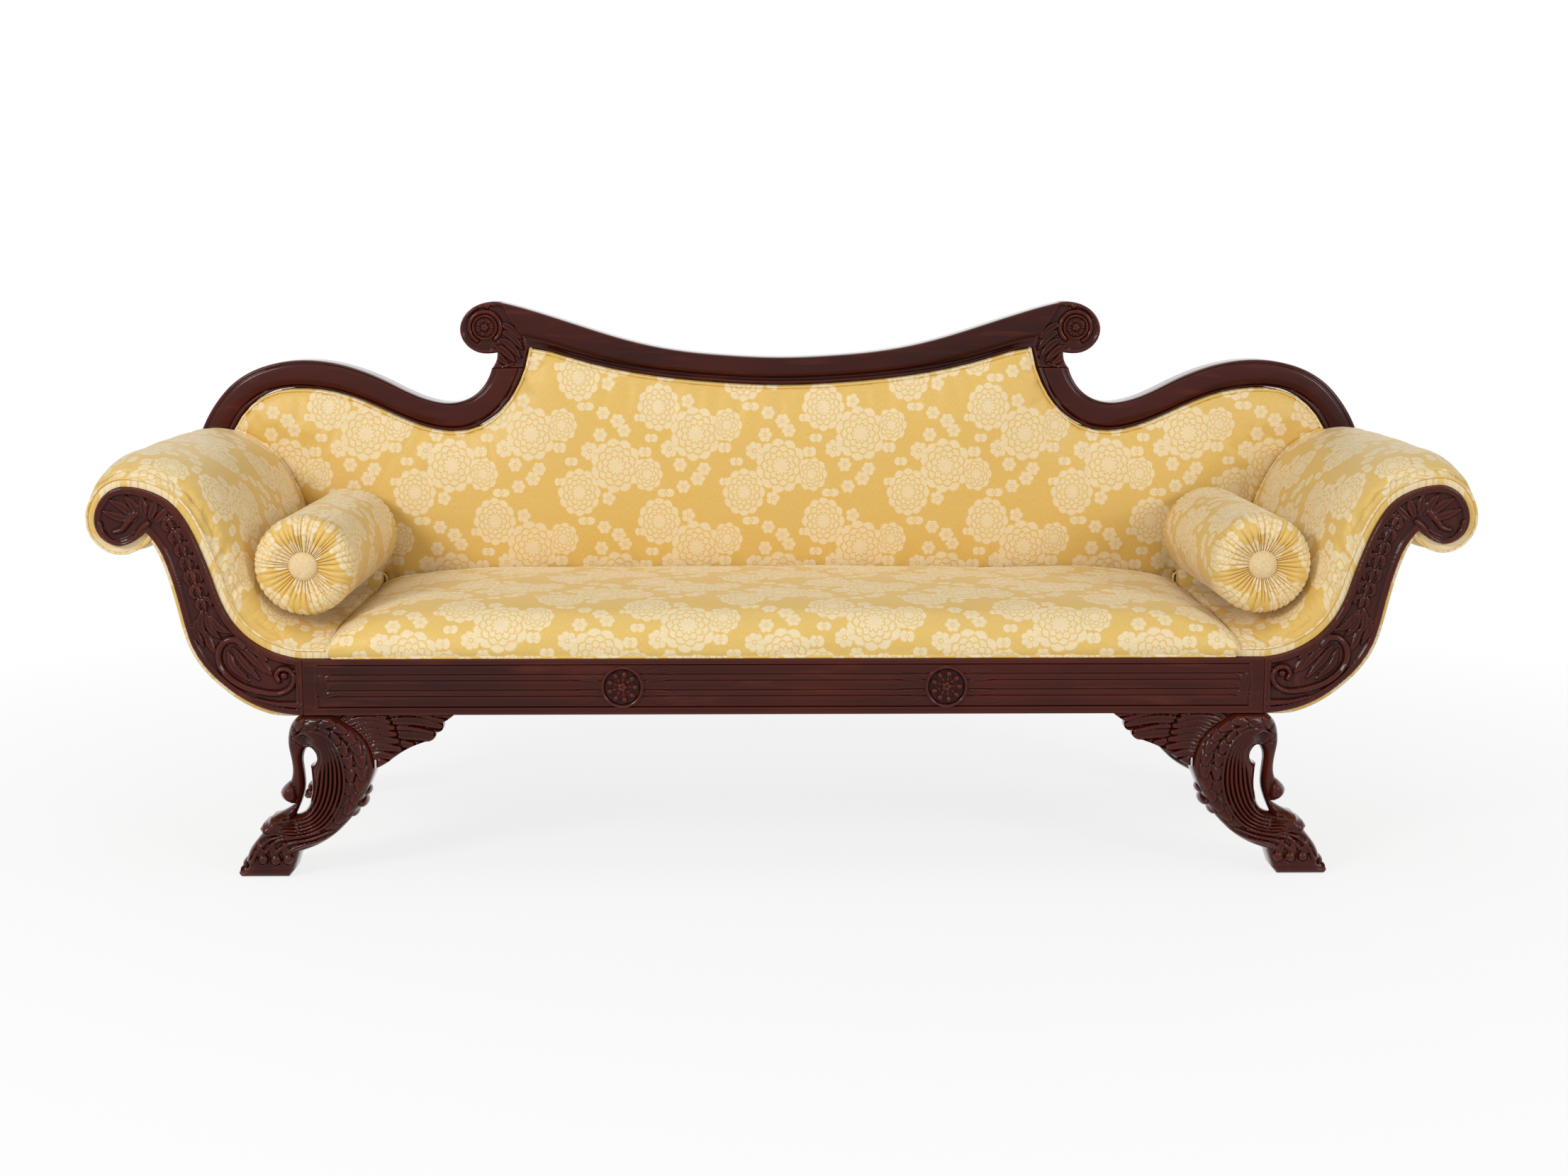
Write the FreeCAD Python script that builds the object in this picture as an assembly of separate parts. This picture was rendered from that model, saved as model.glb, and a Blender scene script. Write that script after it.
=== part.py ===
# A recamier: an upholstered couch with two scrolled arms, a shaped show-wood back, carved swan legs,
# a reeded seat rail and two loose bolsters. Millimetres; +X right, -Y front, +Z up; the origin is on
# the floor under the middle of the couch. The left half is drawn, and the right half is its mirror.
import FreeCAD
import Part
import math
import os

# Seat frame
RAIL_HALF = 800.0  # half the seat rail, out to its joint with the arm scroll
LEG_HEIGHT = 280.0  # floor to the underside of the rails
RAIL_HEIGHT = 94.0
RAIL_THICK = 38.0
END_RAIL_THICK = 50.0
DEPTH_HALF = 315.5  # half the couch's depth, rosettes and back rails included
FACE_PROUD = 3.0  # how far the rosettes stand in front of the rail's face

# Sunk reeded panel on the front rail
PANEL_SINK = 8.0
PANEL_END = 23.0  # plain wood left at each end of the panel
PANEL_BORDER = 11.0  # plain wood left above and below the panel
REED_CREST = 4.0
REED_COUNT = 5
BEARER_HEIGHT = 60.0
BLOCK_SIDE = 60.0  # the corner blocks' glued faces
BLOCK_MARGIN = 15.0

# Rosettes
ROSETTE_X = 270.0
ROSETTE_RADIUS = 35.0
ROSETTE_RIM = 4.0
ROSETTE_DISH = 3.0  # wood left behind the dish
ROSETTE_BOSS = 9.0
ROSETTE_PETALS = 9
ROSETTE_SIDES = 24
PETAL_RING = 20.0  # the petals' centres lie on a ring of this radius
PETAL_RADIUS = 5.5
PETAL_SINK = 1.0
EYE_RADIUS = 24.0
EYE_RIM = 5.0
EYE_DISH = 2.0
EYE_PROUD = 5.0
EYE_BOSS = 9.0

# Show-wood back
BACK_WOOD_THICK = 63.0
BACK_CORE_SETBACK = 9.5  # the hidden posts stand this far behind the show-wood's face
CORE_THICK = 38.0
POST_WIDTH = 50.0
POST_X = 620.0
TACK_RAIL_HEIGHT = 35.0
TACK_RAIL_LIFT = 20.0

# Arms
SCROLL_THICK = 30.0
SLAT_WIDTH = 36.0
SLAT_THICK = 16.0
SLAT_SINK = 1.0
VOLUTE_SLAT_SINK = 7.5  # flat slats lie deeper where the scroll turns tightly
COVER_BAND = 7.0  # padded fabric outside the arm's lower edge
ARM_SEAM_X = 757.0  # where the arm's pad meets the end of the seat
ARM_PIPING = 6.0

# Upholstery
SEAT_CROWN = 82.0  # top of the seat above the rails
SEAT_END_DROP = 26.0
BACK_CROWN = 30.0
SEAT_BACK_GAP = 40.0  # the seat's back edge stands this far in front of the show-wood
BACK_GAP = 1.5  # left between the back's stuffing and the show-wood and arms
WEB_WIDTH = 50.0
WEB_THICK = 1.5
WEB_EDGE = 14.0  # the webs' and the hessian's setback from the rail's face
WEB_MARGIN = 30.0
WEB_TURN = 20.0  # how far the webs reach over the back rail
SEAT_WEBS = 10
LONG_WEBS = 4
BACK_WEBS = 7
BACK_WEB_REACH = 640.0
BACK_WEB_HEIGHT = 320.0
BACK_WEB_RISES = (80.0, 170.0, 260.0)
HESSIAN = 1.0
HESSIAN_OVER = 5.0  # the back's hessian stands this much above its webs
COVER = 3.0
COVER_LAP = 5.0
DUST_END = 60.0
DUST_BACK = 15.0
DUST_COVER = 1.5
PIPING = 6.0
CLEAR = 0.3
PAD_GAP = 1.0  # the arm's pad and its piping lie this far outside the scroll's edge
PAD_STEPS = 3  # straight steps between two drawn points of the arm pad's outline
SEAT_FACETS = 20
SIDE_FACETS = 26
CREST_FACETS = 25
ARC_TOLERANCE = 0.3  # how closely a run of arcs follows a drawn curve
CROTCH_DROP = 18.0  # fabric over the volute and under the arm meets this far below the wood's crotch

# Legs and wings
LEG_THICK = 75.0
WING_THICK = 22.0
WING_SETBACK = 5.0
BEAD_INSET = 14.0  # the heel's beads stop this far inside the leg's faces
BACK_LEG_SETBACK = 2.5
BOLT_RADIUS = 4.0
BOLT_SIDES = 12
BOLT_INSET = 17.0
BOLT_SUNK = 45.0
BOLT_X = 782.0
PLATE_THICK = 3.0
PLATE_HEIGHT = 15.0

# Bolsters
BOLSTER_RADIUS = 84.0
BOLSTER_LENGTH = 480.0
BOLSTER_X = 803.0
BOLSTER_BACK_GAP = 8.0
BOLSTER_ROUND = 30.0
BOLSTER_DISH = 12.0
BUTTON_RADIUS = 25.0
BUTTON_THICK = 12.0
PLEATS = 18
PLEAT_DEPTH = 2.5
END_STEPS = 3  # straight steps round the bolster's rounded ends

# Places worked out from the sizes above
RAIL_TOP = LEG_HEIGHT + RAIL_HEIGHT
FACE_Y = FACE_PROUD - DEPTH_HALF
RAIL_BACK_Y = FACE_Y + RAIL_THICK
SCROLL_BACK_Y = FACE_Y + SCROLL_THICK
WOOD_Y = DEPTH_HALF - BACK_WOOD_THICK
CORE_Y = WOOD_Y + BACK_CORE_SETBACK
CORE_BACK_Y = CORE_Y + CORE_THICK
SEAT_BACK_Y = WOOD_Y - SEAT_BACK_GAP
FRONT_BOLT_Y = FACE_Y + LEG_THICK - BOLT_INSET
BACK_LEG_Y = CORE_BACK_Y - LEG_THICK - BACK_LEG_SETBACK
BACK_BOLT_Y = BACK_LEG_Y + BOLT_INSET
BOLSTER_Y = SEAT_BACK_Y - BOLSTER_BACK_GAP - BOLSTER_LENGTH / 2
LEG_DRAWN = 280.0  # the height at which the leg's outline is drawn

# The arm scroll's upper edge, from the rail's end round the volute to the crotch: distance out from
# the rail's end, height above the rail's top, and thickness of the pad over it
ARM_EDGE = [
    (0, 0, 58), (48, 11, 57), (89, 35, 56), (125, 80, 56), (145, 133, 56), (163, 183, 56),
    (183, 227, 56), (210, 262, 55), (243, 280, 54), (276, 287, 52), (308, 280, 44), (328, 256, 28),
    (334, 230, 17), (322, 203, 16), (294, 190, 15), (268, 199, 13), (250, 213, 9),
]
# Where slats join the two scrolls: places in the list above
SLAT_PLACES = (2, 4, 6, 8, 11, 14)
# The arm pad's swell: share of its depth from the front, share of its full thickness
ARM_SWELL = [(0.0, 0.25), (0.06, 1.0), (0.94, 1.0), (1.0, 0.4)]
# The arm scroll's lower edge, from the crotch down to the rail: distance out, height above the rail's bottom
ARM_UNDER = [
    (234, 287), (208, 220), (196, 170), (181, 116), (165, 87), (130, 50), (99, 27), (51, 6.5), (24, 1.4),
    (0, 0),
]

# The seat's front and top: distance behind the seam, share of the crown
SEAT_PROFILE = [(-5, 0.26), (-1, 0.5), (14, 0.72), (50, 0.89), (120, 0.97), (260, 1.0)]
SEAT_REAR = [(60, 1.0), (0, 0.96)]  # the same, measured in front of its back edge
# The seat's ends: share of the half length, share of the end's drop that is left
SEAT_SWELL = [(1.0, 1.0), (0.985, 0.5), (0.95, 0.15), (0.85, 0.04), (0.0, 0.0)]
# The back's crown: share of the crown, distance in from the show-wood, rise of the lower edge
BACK_SWELL = [(0.45, 10, 10), (0.8, 30, 60), (1.0, 70, 110)]

# The back's side rail: distance out from the rail's end, height above the rail's top
SIDE_TOP = [
    (306, 294), (294, 337), (269, 383), (228, 428), (164, 459), (91, 468), (18, 457), (-53, 430),
    (-140, 392), (-183, 388), (-220, 401), (-246, 430), (-255, 452),
]
SIDE_UNDER = [
    (-316, 453), (-300, 416), (-270, 374), (-219, 341), (-171, 336), (-117, 348), (-52, 376),
    (20, 405), (100, 417), (166, 407), (212, 372), (237, 330), (252, 287),
]
# The crest scroll, from its joint with the side rail round the volute to the crest rail
SCROLL_INNER = [(-255, 452), (-264, 466), (-266, 482)]
SCROLL_VOLUTE = [
    (-266, 482), (-248, 480), (-226, 484), (-208, 497), (-197, 526), (-213, 559), (-240, 574), (-274, 576),
]
SCROLL_BORDER = [(-274, 576), (-301, 556), (-318, 519), (-325, 492)]
EYE_PLACE = (-244, 529)
# The crest rail's top and bottom edges: share of its half length, height above the rail's top
CREST_TOP = [(1.0, 576), (0.897, 562), (0.763, 540), (0.574, 509), (0.370, 486), (0.190, 477), (0.0, 473)]
CREST_UNDER = [(0.0, 422), (0.213, 426), (0.410, 434), (0.638, 450), (0.832, 473), (0.943, 488), (1.0, 492)]

# The leg, all measured out from the rail's end and up from the floor
NECK = [(6, 280), (23, 265), (34, 239), (33, 214), (29, 190), (32, 162)]
HEAD = [(32, 162), (44, 152), (50, 141), (42, 127), (26, 122)]
BEAK = [(26, 122), (43, 111), (65, 101)]
FEATHER_END = [(65, 101), (68, 95), (77, 92), (83, 83), (79, 76)]
SHIN = [(79, 76), (89, 64), (100, 48), (106, 30)]
FOOT = [(106, 30), (116, 20), (121, 6), (116, 0), (36, 0), (28, 10), (17, 43)]
LEG_BACK = [(17, 43), (-5, 51), (-29, 63), (-56, 85), (-83, 117), (-97, 144), (-111, 178), (-114, 188)]
LEG_SHOULDER = [(-114, 188), (-110, 208), (-102, 229), (-84, 252), (-57, 271), (-45, 280)]
NECK_HOLE = [
    (26, 102), (14, 129), (8, 155), (11, 190), (10, 207), (1, 219), (-10, 217), (-16, 206), (-3, 189),
]
HOLE_BACK = [(-3, 189), (-5, 170), (-6, 150), (-3, 132), (10, 109), (26, 102)]
HEEL_BEADS = [(-101, 144, 6), (-93, 123, 9), (-78, 107, 9)]
TOE_BEADS = [(112, 21, 8), (76, 33, 9), (55, 32, 9), (34, 34, 9)]
TOE_PROUD = 3.0
# The wing bracket's feathered edge, from the rail inwards and down to the leg
WING_UPPER = [(-250, 280), (-239, 271), (-229, 265)]
WING_TIP = [(-229, 265), (-230, 258), (-226, 251), (-216, 250)]
WING_SECOND = [(-216, 250), (-217, 243), (-213, 237), (-201, 233)]
WING_UNDER = [(-201, 233), (-177, 224), (-155, 212), (-130, 194), (-100, 186)]


def at(out, high, y, base=0.0):
    return FreeCAD.Vector(-(RAIL_HALF + out), y, base + high)


def points(places, y, base=0.0):
    return [at(p[0], p[1], y, base) for p in places]


def spline(spots):
    smooth = Part.BSplineCurve()
    smooth.interpolate(spots)
    return smooth


def curve(spots):
    """A smooth line through the spots, as a run of arcs."""
    return [arc.toShape() for arc in spline(spots).toBiArcs(ARC_TOLERANCE)]


def sampled(spots, count):
    """Evenly spaced spots on a smooth line through the given ones, for sections that are lofted together."""
    return spline(spots).toShape().discretize(Number=count)


def loop(spots):
    return Part.makePolygon(spots + spots[:1])


def curves(runs, y, base):
    return [edge for run in runs for edge in curve(points(run, y, base))]


def line(a, b):
    return Part.makeLine(a, b)


def chain(spots):
    return [line(a, b) for a, b in zip(spots, spots[1:])]


def face(edges):
    return Part.Face(Part.Wire(Part.__sortEdges__(edges)))


def slab(edges, thick):
    return face(edges).extrude(FreeCAD.Vector(0, thick, 0))


def box(x0, x1, y0, y1, z0, z1):
    return Part.makeBox(x1 - x0, y1 - y0, z1 - z0, FreeCAD.Vector(x0, y0, z0))


def mirrored(shape):
    return shape.mirror(FreeCAD.Vector(0, 0, 0), FreeCAD.Vector(1, 0, 0))


def disc(radius, x, z, y0, y1):
    return Part.makeCylinder(radius, y1 - y0, FreeCAD.Vector(x, y0, z), FreeCAD.Vector(0, 1, 0))


def faceted(rings):
    """A closed solid of flat facets through rings that have equally many spots."""
    facets = [Part.Face(loop(rings[0])), Part.Face(loop(rings[-1]))]
    for near, far in zip(rings, rings[1:]):
        for i in range(len(near)):
            a, b, c, d = near[i - 1], near[i], far[i], far[i - 1]
            facets += [Part.Face(loop([a, b, c])), Part.Face(loop([a, c, d]))]
    shell = Part.makeShell(facets)
    shell.sewShape()
    solid = Part.makeSolid(shell)
    return solid if solid.Volume > 0 else solid.reversed()


def leg_scale(places):
    return [(p[0], p[1] * LEG_HEIGHT / LEG_DRAWN, *p[2:]) for p in places]


# Seat frame


def reed_profile(y_floor, z0, z1):
    """The reeded panel's section: rounded reeds side by side, as arcs that bulge out of the floor."""
    pitch = (z1 - z0) / REED_COUNT
    edges = []
    for i in range(REED_COUNT):
        low = FreeCAD.Vector(0, y_floor, z0 + i * pitch)
        mid = FreeCAD.Vector(0, y_floor - REED_CREST, z0 + (i + 0.5) * pitch)
        high = FreeCAD.Vector(0, y_floor, z0 + (i + 1) * pitch)
        edges.append(Part.Arc(low, mid, high).toShape())
    return edges


def front_seat_rail():
    """The front rail, with a sunk panel of long rounded reeds and a round seat for each rosette."""
    rail = box(-RAIL_HALF, RAIL_HALF, FACE_Y, RAIL_BACK_Y, LEG_HEIGHT, RAIL_TOP)
    floor = FACE_Y + PANEL_SINK
    x_end = RAIL_HALF - PANEL_END
    z0 = LEG_HEIGHT + PANEL_BORDER
    z1 = RAIL_TOP - PANEL_BORDER
    rail = rail.cut(box(-x_end, x_end, FACE_Y - 1, floor, z0, z1))
    edges = reed_profile(floor, z0, z1)
    edges += chain([FreeCAD.Vector(0, floor, z1), FreeCAD.Vector(0, floor + 1, z1),
                    FreeCAD.Vector(0, floor + 1, z0), FreeCAD.Vector(0, floor, z0)])
    reeds = face(edges).extrude(FreeCAD.Vector(2 * x_end, 0, 0))
    reeds.translate(FreeCAD.Vector(-x_end, 0, 0))
    rail = rail.fuse(reeds)
    z = LEG_HEIGHT + RAIL_HEIGHT / 2
    for x in (-ROSETTE_X, ROSETTE_X):
        rail = rail.cut(prism(ROSETTE_SIDES, ROSETTE_RADIUS, x, z, FACE_Y - 1, floor))
    return rail.removeSplitter()


def prism(sides, radius, x, z, y0, y1):
    """A many-sided disc on the Y axis."""
    turns = [2 * math.pi * i / sides for i in range(sides)]
    ring = loop([FreeCAD.Vector(x + radius * math.sin(t), y0, z + radius * math.cos(t)) for t in turns])
    return Part.Face(ring).extrude(FreeCAD.Vector(0, y1 - y0, 0))


def rail_rosette():
    """A turned disc with a raised rim, a ring of petals and a boss."""
    y = FACE_Y + PANEL_SINK
    front = FACE_Y - FACE_PROUD
    z = LEG_HEIGHT + RAIL_HEIGHT / 2
    dish = y - ROSETTE_DISH
    rim = prism(ROSETTE_SIDES, ROSETTE_RADIUS, -ROSETTE_X, z, front, y)
    rim = rim.cut(prism(ROSETTE_SIDES, ROSETTE_RADIUS - ROSETTE_RIM, -ROSETTE_X, z, front - 1, dish))
    rim = rim.fuse(prism(10, ROSETTE_BOSS, -ROSETTE_X, z, front, dish))
    for i in range(ROSETTE_PETALS):
        turn = 2 * math.pi * i / ROSETTE_PETALS
        x = -ROSETTE_X + PETAL_RING * math.sin(turn)
        rim = rim.fuse(prism(6, PETAL_RADIUS, x, z + PETAL_RING * math.cos(turn), front + PETAL_SINK, dish))
    return rim


def back_seat_rail():
    return box(-RAIL_HALF, RAIL_HALF, CORE_Y, CORE_BACK_Y, LEG_HEIGHT, RAIL_TOP)


def end_seat_rail():
    rail = box(-RAIL_HALF, END_RAIL_THICK - RAIL_HALF, RAIL_BACK_Y, CORE_Y, LEG_HEIGHT, RAIL_TOP)
    for y in (FRONT_BOLT_Y, BACK_BOLT_Y):
        rail = rail.cut(bolt(y))
    return rail


def seat_bearers():
    """Three cross rails that keep the long seat rails apart."""
    half = RAIL_THICK / 2
    bars = [box(x - half, x + half, RAIL_BACK_Y, CORE_Y, RAIL_TOP - BEARER_HEIGHT, RAIL_TOP)
            for x in (-RAIL_HALF / 2, 0.0, RAIL_HALF / 2)]
    return Part.makeCompound(bars)


def corner_blocks():
    """Four glued triangular blocks in the seat frame's corners."""
    blocks = []
    x = RAIL_HALF - END_RAIL_THICK
    for y, step in ((RAIL_BACK_Y, BLOCK_SIDE), (CORE_Y, -BLOCK_SIDE)):
        corner = FreeCAD.Vector(-x, y, LEG_HEIGHT + BLOCK_MARGIN)
        spots = [corner, corner + FreeCAD.Vector(BLOCK_SIDE, 0, 0), corner + FreeCAD.Vector(0, step, 0), corner]
        block = face(chain(spots)).extrude(FreeCAD.Vector(0, 0, RAIL_HEIGHT - 2 * BLOCK_MARGIN))
        blocks += [block, mirrored(block)]
    return Part.makeCompound(blocks)


# Arms


def edge_normals(places):
    """Unit normals of a drawn edge, pointing to the pad's side, from each point's neighbours."""
    normals = []
    for i in range(len(places)):
        a = places[max(i - 1, 0)]
        b = places[min(i + 1, len(places) - 1)]
        du, dv = b[0] - a[0], b[1] - a[1]
        size = math.hypot(du, dv)
        normals.append((-dv / size, du / size))
    return normals


def arm_over(share, extra=0.0):
    """The arm pad's outer line, with its thickness times share, plus extra."""
    spots = []
    for (u, v, thick), (nu, nv) in zip(ARM_EDGE, edge_normals(ARM_EDGE)):
        grow = share * thick + extra
        spots.append((u + nu * grow, v + nv * grow))
    return spots


def scroll_board(y, thick):
    """The S-shaped scroll that fronts, and backs, an arm."""
    upper = curve(points(ARM_EDGE, y, RAIL_TOP))
    crotch = at(ARM_EDGE[-1][0], ARM_EDGE[-1][1], y, RAIL_TOP)
    lower = curve([crotch] + points(ARM_UNDER, y, LEG_HEIGHT))
    end = line(at(0, 0, y, LEG_HEIGHT), at(0, 0, y, RAIL_TOP))
    return slab(upper + lower + [end], thick)


def arm_slats():
    """Long slats that join the front scroll to the back scroll under the pad."""
    slats = []
    normals = edge_normals(ARM_EDGE)
    for i in SLAT_PLACES:
        u, v, _ = ARM_EDGE[i]
        nu, nv = normals[i]
        sink = VOLUTE_SLAT_SINK if i > 5 else SLAT_SINK
        spots = []
        for along, deep in ((-1, 0), (1, 0), (1, 1), (-1, 1)):
            s = along * SLAT_WIDTH / 2
            d = sink + deep * SLAT_THICK
            spots.append(at(u + nv * s - nu * d, v - nu * s - nv * d, SCROLL_BACK_Y, RAIL_TOP))
        slats.append(face(chain(spots + spots[:1])).extrude(FreeCAD.Vector(0, WOOD_Y - SCROLL_BACK_Y, 0)))
    return Part.makeCompound(slats)


def crotch_spot(side):
    """Where the fabrics meet under the volute, a little to one side of the meeting line."""
    return (ARM_EDGE[-1][0] + side * CLEAR, ARM_EDGE[-1][1] - CROTCH_DROP)


def pad_section(y, share):
    """One section of the arm's pad: from the scroll's upper edge out by a share of the pad's thickness."""
    inner = [(u + n[0] * PAD_GAP, v + n[1] * PAD_GAP)
             for (u, v, _), n in zip(ARM_EDGE, edge_normals(ARM_EDGE))]
    inner[-1] = (ARM_EDGE[-1][0] + CLEAR, ARM_EDGE[-1][1] - PAD_GAP)
    outer = arm_over(1.0)[:-1] + [crotch_spot(1)]
    near = even_spots(points(inner, y, RAIL_TOP))
    far = even_spots(points(outer, y, RAIL_TOP))
    over = [a + (b - a) * share for a, b in zip(near, far)]
    seat = -(RAIL_HALF - ARM_SEAM_X)
    start = [at(seat, CLEAR, y, RAIL_TOP), at(seat, ARM_EDGE[0][2] * share, y, RAIL_TOP)]
    return [start[0]] + near + over[::-1] + [start[1]]


def even_spots(spots):
    """Spots on a smooth line: each drawn one, and some between, so that two such lines pair up."""
    smooth = spline(spots)
    knots = smooth.getKnots()
    even = [smooth.value(a + (b - a) * i / PAD_STEPS) for a, b in zip(knots, knots[1:]) for i in range(PAD_STEPS)]
    return even + [spots[-1]]


def arm_pad():
    """The stuffed arm: full in the middle, drawn in to the scroll at its front and back ends."""
    depth = CORE_BACK_Y - SCROLL_BACK_Y
    return faceted([pad_section(SCROLL_BACK_Y + CLEAR + f * (depth - CLEAR), share) for f, share in ARM_SWELL])


def arm_cover():
    """The padded fabric under the arm's lower edge, from the crotch to the rail, trimmed to the legs."""
    y = SCROLL_BACK_Y
    crotch = (ARM_EDGE[-1][0], ARM_EDGE[-1][1] + RAIL_HEIGHT)
    under = [crotch] + ARM_UNDER
    normals = edge_normals(under)
    near = [(u + n[0] * CLEAR, v + n[1] * CLEAR) for (u, v), n in zip(under, normals)]
    near[0] = (crotch[0] - CLEAR, crotch[1] - 2 * CLEAR)
    far = [(u + n[0] * COVER_BAND, v + n[1] * COVER_BAND) for (u, v), n in zip(under, normals)]
    meet = crotch_spot(-1)
    far[0] = (meet[0], meet[1] + RAIL_HEIGHT)
    edges = curves([near, far], y, LEG_HEIGHT)
    edges.append(line(at(*near[0], y, LEG_HEIGHT), at(*far[0], y, LEG_HEIGHT)))
    edges.append(line(at(*near[-1], y, LEG_HEIGHT), at(*far[-1], y, LEG_HEIGHT)))
    cover = slab(edges, CORE_BACK_Y - SCROLL_BACK_Y)
    return cover.cut(leg(FACE_Y)).cut(leg(BACK_LEG_Y))


# Show-wood back


def side_rail():
    top = curve(points(SIDE_TOP, WOOD_Y, RAIL_TOP))
    under = curve(points(SIDE_UNDER, WOOD_Y, RAIL_TOP))
    joint = line(at(*SIDE_TOP[-1], WOOD_Y, RAIL_TOP), at(*SIDE_UNDER[0], WOOD_Y, RAIL_TOP))
    foot = line(at(*SIDE_TOP[0], WOOD_Y, RAIL_TOP), at(*SIDE_UNDER[-1], WOOD_Y, RAIL_TOP))
    return slab(top + under + [joint, foot], BACK_WOOD_THICK)


def crest_scroll():
    edges = curves([SCROLL_INNER, SCROLL_VOLUTE, SCROLL_BORDER], WOOD_Y, RAIL_TOP)
    edges += chain(points([SCROLL_BORDER[-1], SIDE_UNDER[0], SCROLL_INNER[0]], WOOD_Y, RAIL_TOP))
    return slab(edges, BACK_WOOD_THICK)


def crest_rosette():
    """The eye of the crest's volute: a dished disc with a boss."""
    x, z = -(RAIL_HALF + EYE_PLACE[0]), RAIL_TOP + EYE_PLACE[1]
    front = WOOD_Y - EYE_PROUD
    ring = prism(ROSETTE_SIDES, EYE_RADIUS, x, z, front, WOOD_Y)
    ring = ring.cut(prism(ROSETTE_SIDES, EYE_RADIUS - EYE_RIM, x, z, front - 1, WOOD_Y - EYE_DISH))
    return ring.fuse(prism(10, EYE_BOSS, x, z, front - 1, WOOD_Y - EYE_DISH))


def crest_places(places, side):
    half = RAIL_HALF + SCROLL_BORDER[0][0]
    low = RAIL_HALF + SCROLL_BORDER[-1][0]
    reach = half if places is CREST_TOP else low
    return [FreeCAD.Vector(side * share * reach, WOOD_Y, RAIL_TOP + v) for share, v in places]


def crest_rail():
    left_top = crest_places(CREST_TOP, -1)
    right_top = crest_places(CREST_TOP, 1)
    left_under = crest_places(CREST_UNDER, -1)
    right_under = crest_places(CREST_UNDER, 1)
    left_end = points(SCROLL_BORDER, WOOD_Y, RAIL_TOP)
    right_end = [FreeCAD.Vector(-p.x, p.y, p.z) for p in left_end]
    edges = curve(left_top + right_top[-2::-1]) + curve(left_under[::-1] + right_under[1:])
    edges += curve(left_end) + curve(right_end)
    return slab(edges, BACK_WOOD_THICK)


def back_posts():
    """Three hidden posts between the seat rail and the show-wood."""
    wood = [side_rail(), mirrored(side_rail()), crest_rail()]
    posts = []
    for x in (-POST_X, 0.0, POST_X):
        top = RAIL_TOP + CREST_TOP[0][1]
        post = box(x - POST_WIDTH / 2, x + POST_WIDTH / 2, CORE_Y, CORE_BACK_Y, RAIL_TOP, top)
        for piece in wood:
            post = post.cut(piece)
        posts.append(lowest(post))
    return Part.makeCompound(posts)


def lowest(shape):
    return min(shape.Solids, key=lambda s: s.BoundBox.ZMin)


def back_tack_rail():
    """Short rails between the posts, to which the inside back is tacked."""
    z0 = RAIL_TOP + TACK_RAIL_LIFT
    half = POST_WIDTH / 2
    end = ARM_SEAM_X - CLEAR
    spans = [(-end, -POST_X - half), (-POST_X + half, -half), (half, POST_X - half), (POST_X + half, end)]
    return Part.makeCompound([box(a, b, CORE_Y, CORE_BACK_Y, z0, z0 + TACK_RAIL_HEIGHT) for a, b in spans])


# Legs


def bolt(y):
    """A fixing bolt that stands in the leg and the end rail, with its bore's same many-sided section."""
    foot = FreeCAD.Vector(-BOLT_X, y, LEG_HEIGHT - BOLT_SUNK)
    turns = [2 * math.pi * i / BOLT_SIDES for i in range(BOLT_SIDES)]
    ring = loop([foot + FreeCAD.Vector(math.cos(t), math.sin(t), 0) * BOLT_RADIUS for t in turns])
    return Part.Face(ring).extrude(FreeCAD.Vector(0, 0, 2 * BOLT_SUNK))


def leg(y):
    """A swan: its neck arches down over a pierced gap to the head, and its body ends in a paw foot."""
    edges = curves([leg_scale(p) for p in (NECK, HEAD, BEAK, SHIN, LEG_BACK, LEG_SHOULDER)], y, 0)
    edges += chain(points(leg_scale(FEATHER_END), y)) + chain(points(leg_scale(FOOT), y))
    edges.append(line(at(*leg_scale(LEG_SHOULDER)[-1], y), at(*leg_scale(NECK)[0], y)))
    body = slab(edges, LEG_THICK)
    hole = slab(curves([leg_scale(NECK_HOLE), leg_scale(HOLE_BACK)], y - 1, 0), LEG_THICK + 2)
    body = body.cut(hole)
    return body


def leg_with_beads(y, bolt_y):
    """The whole leg: the swan, the beads on its heel and toes, and the bore for its fixing bolt."""
    body = leg(y)
    for u, z, radius in leg_scale(HEEL_BEADS):
        body = body.fuse(prism(8, radius, -(RAIL_HALF + u), z, y + BEAD_INSET, y + LEG_THICK - BEAD_INSET))
    for u, z, radius in leg_scale(TOE_BEADS):
        body = body.fuse(prism(8, radius, -(RAIL_HALF + u), z, y - TOE_PROUD, y + LEG_THICK))
    return body.cut(bolt(bolt_y))


def wing():
    """The feathered bracket between the leg and the rail."""
    y = FACE_Y + WING_SETBACK
    edges = curves([leg_scale(p) for p in (WING_UPPER, WING_TIP, WING_SECOND, WING_UNDER)], y, 0)
    far = at(*leg_scale(WING_UNDER)[-1], y)
    corner = at(LEG_SHOULDER[-1][0], LEG_HEIGHT, y)
    edges += chain([far, FreeCAD.Vector(corner.x, y, far.z), corner, at(*leg_scale(WING_UPPER)[0], y)])
    body = slab(edges, WING_THICK)
    return body.cut(leg(FACE_Y)).cut(leg_plate())


def leg_plate():
    """The small steel plate let in between the leg and the wing."""
    u, z = leg_scale(LEG_BACK)[-1]
    x = -(RAIL_HALF + u)
    y = FACE_Y + WING_SETBACK
    return box(x + CLEAR, x + CLEAR + PLATE_THICK, y, y + WING_THICK, z, z + PLATE_HEIGHT)


# Upholstery


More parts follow.
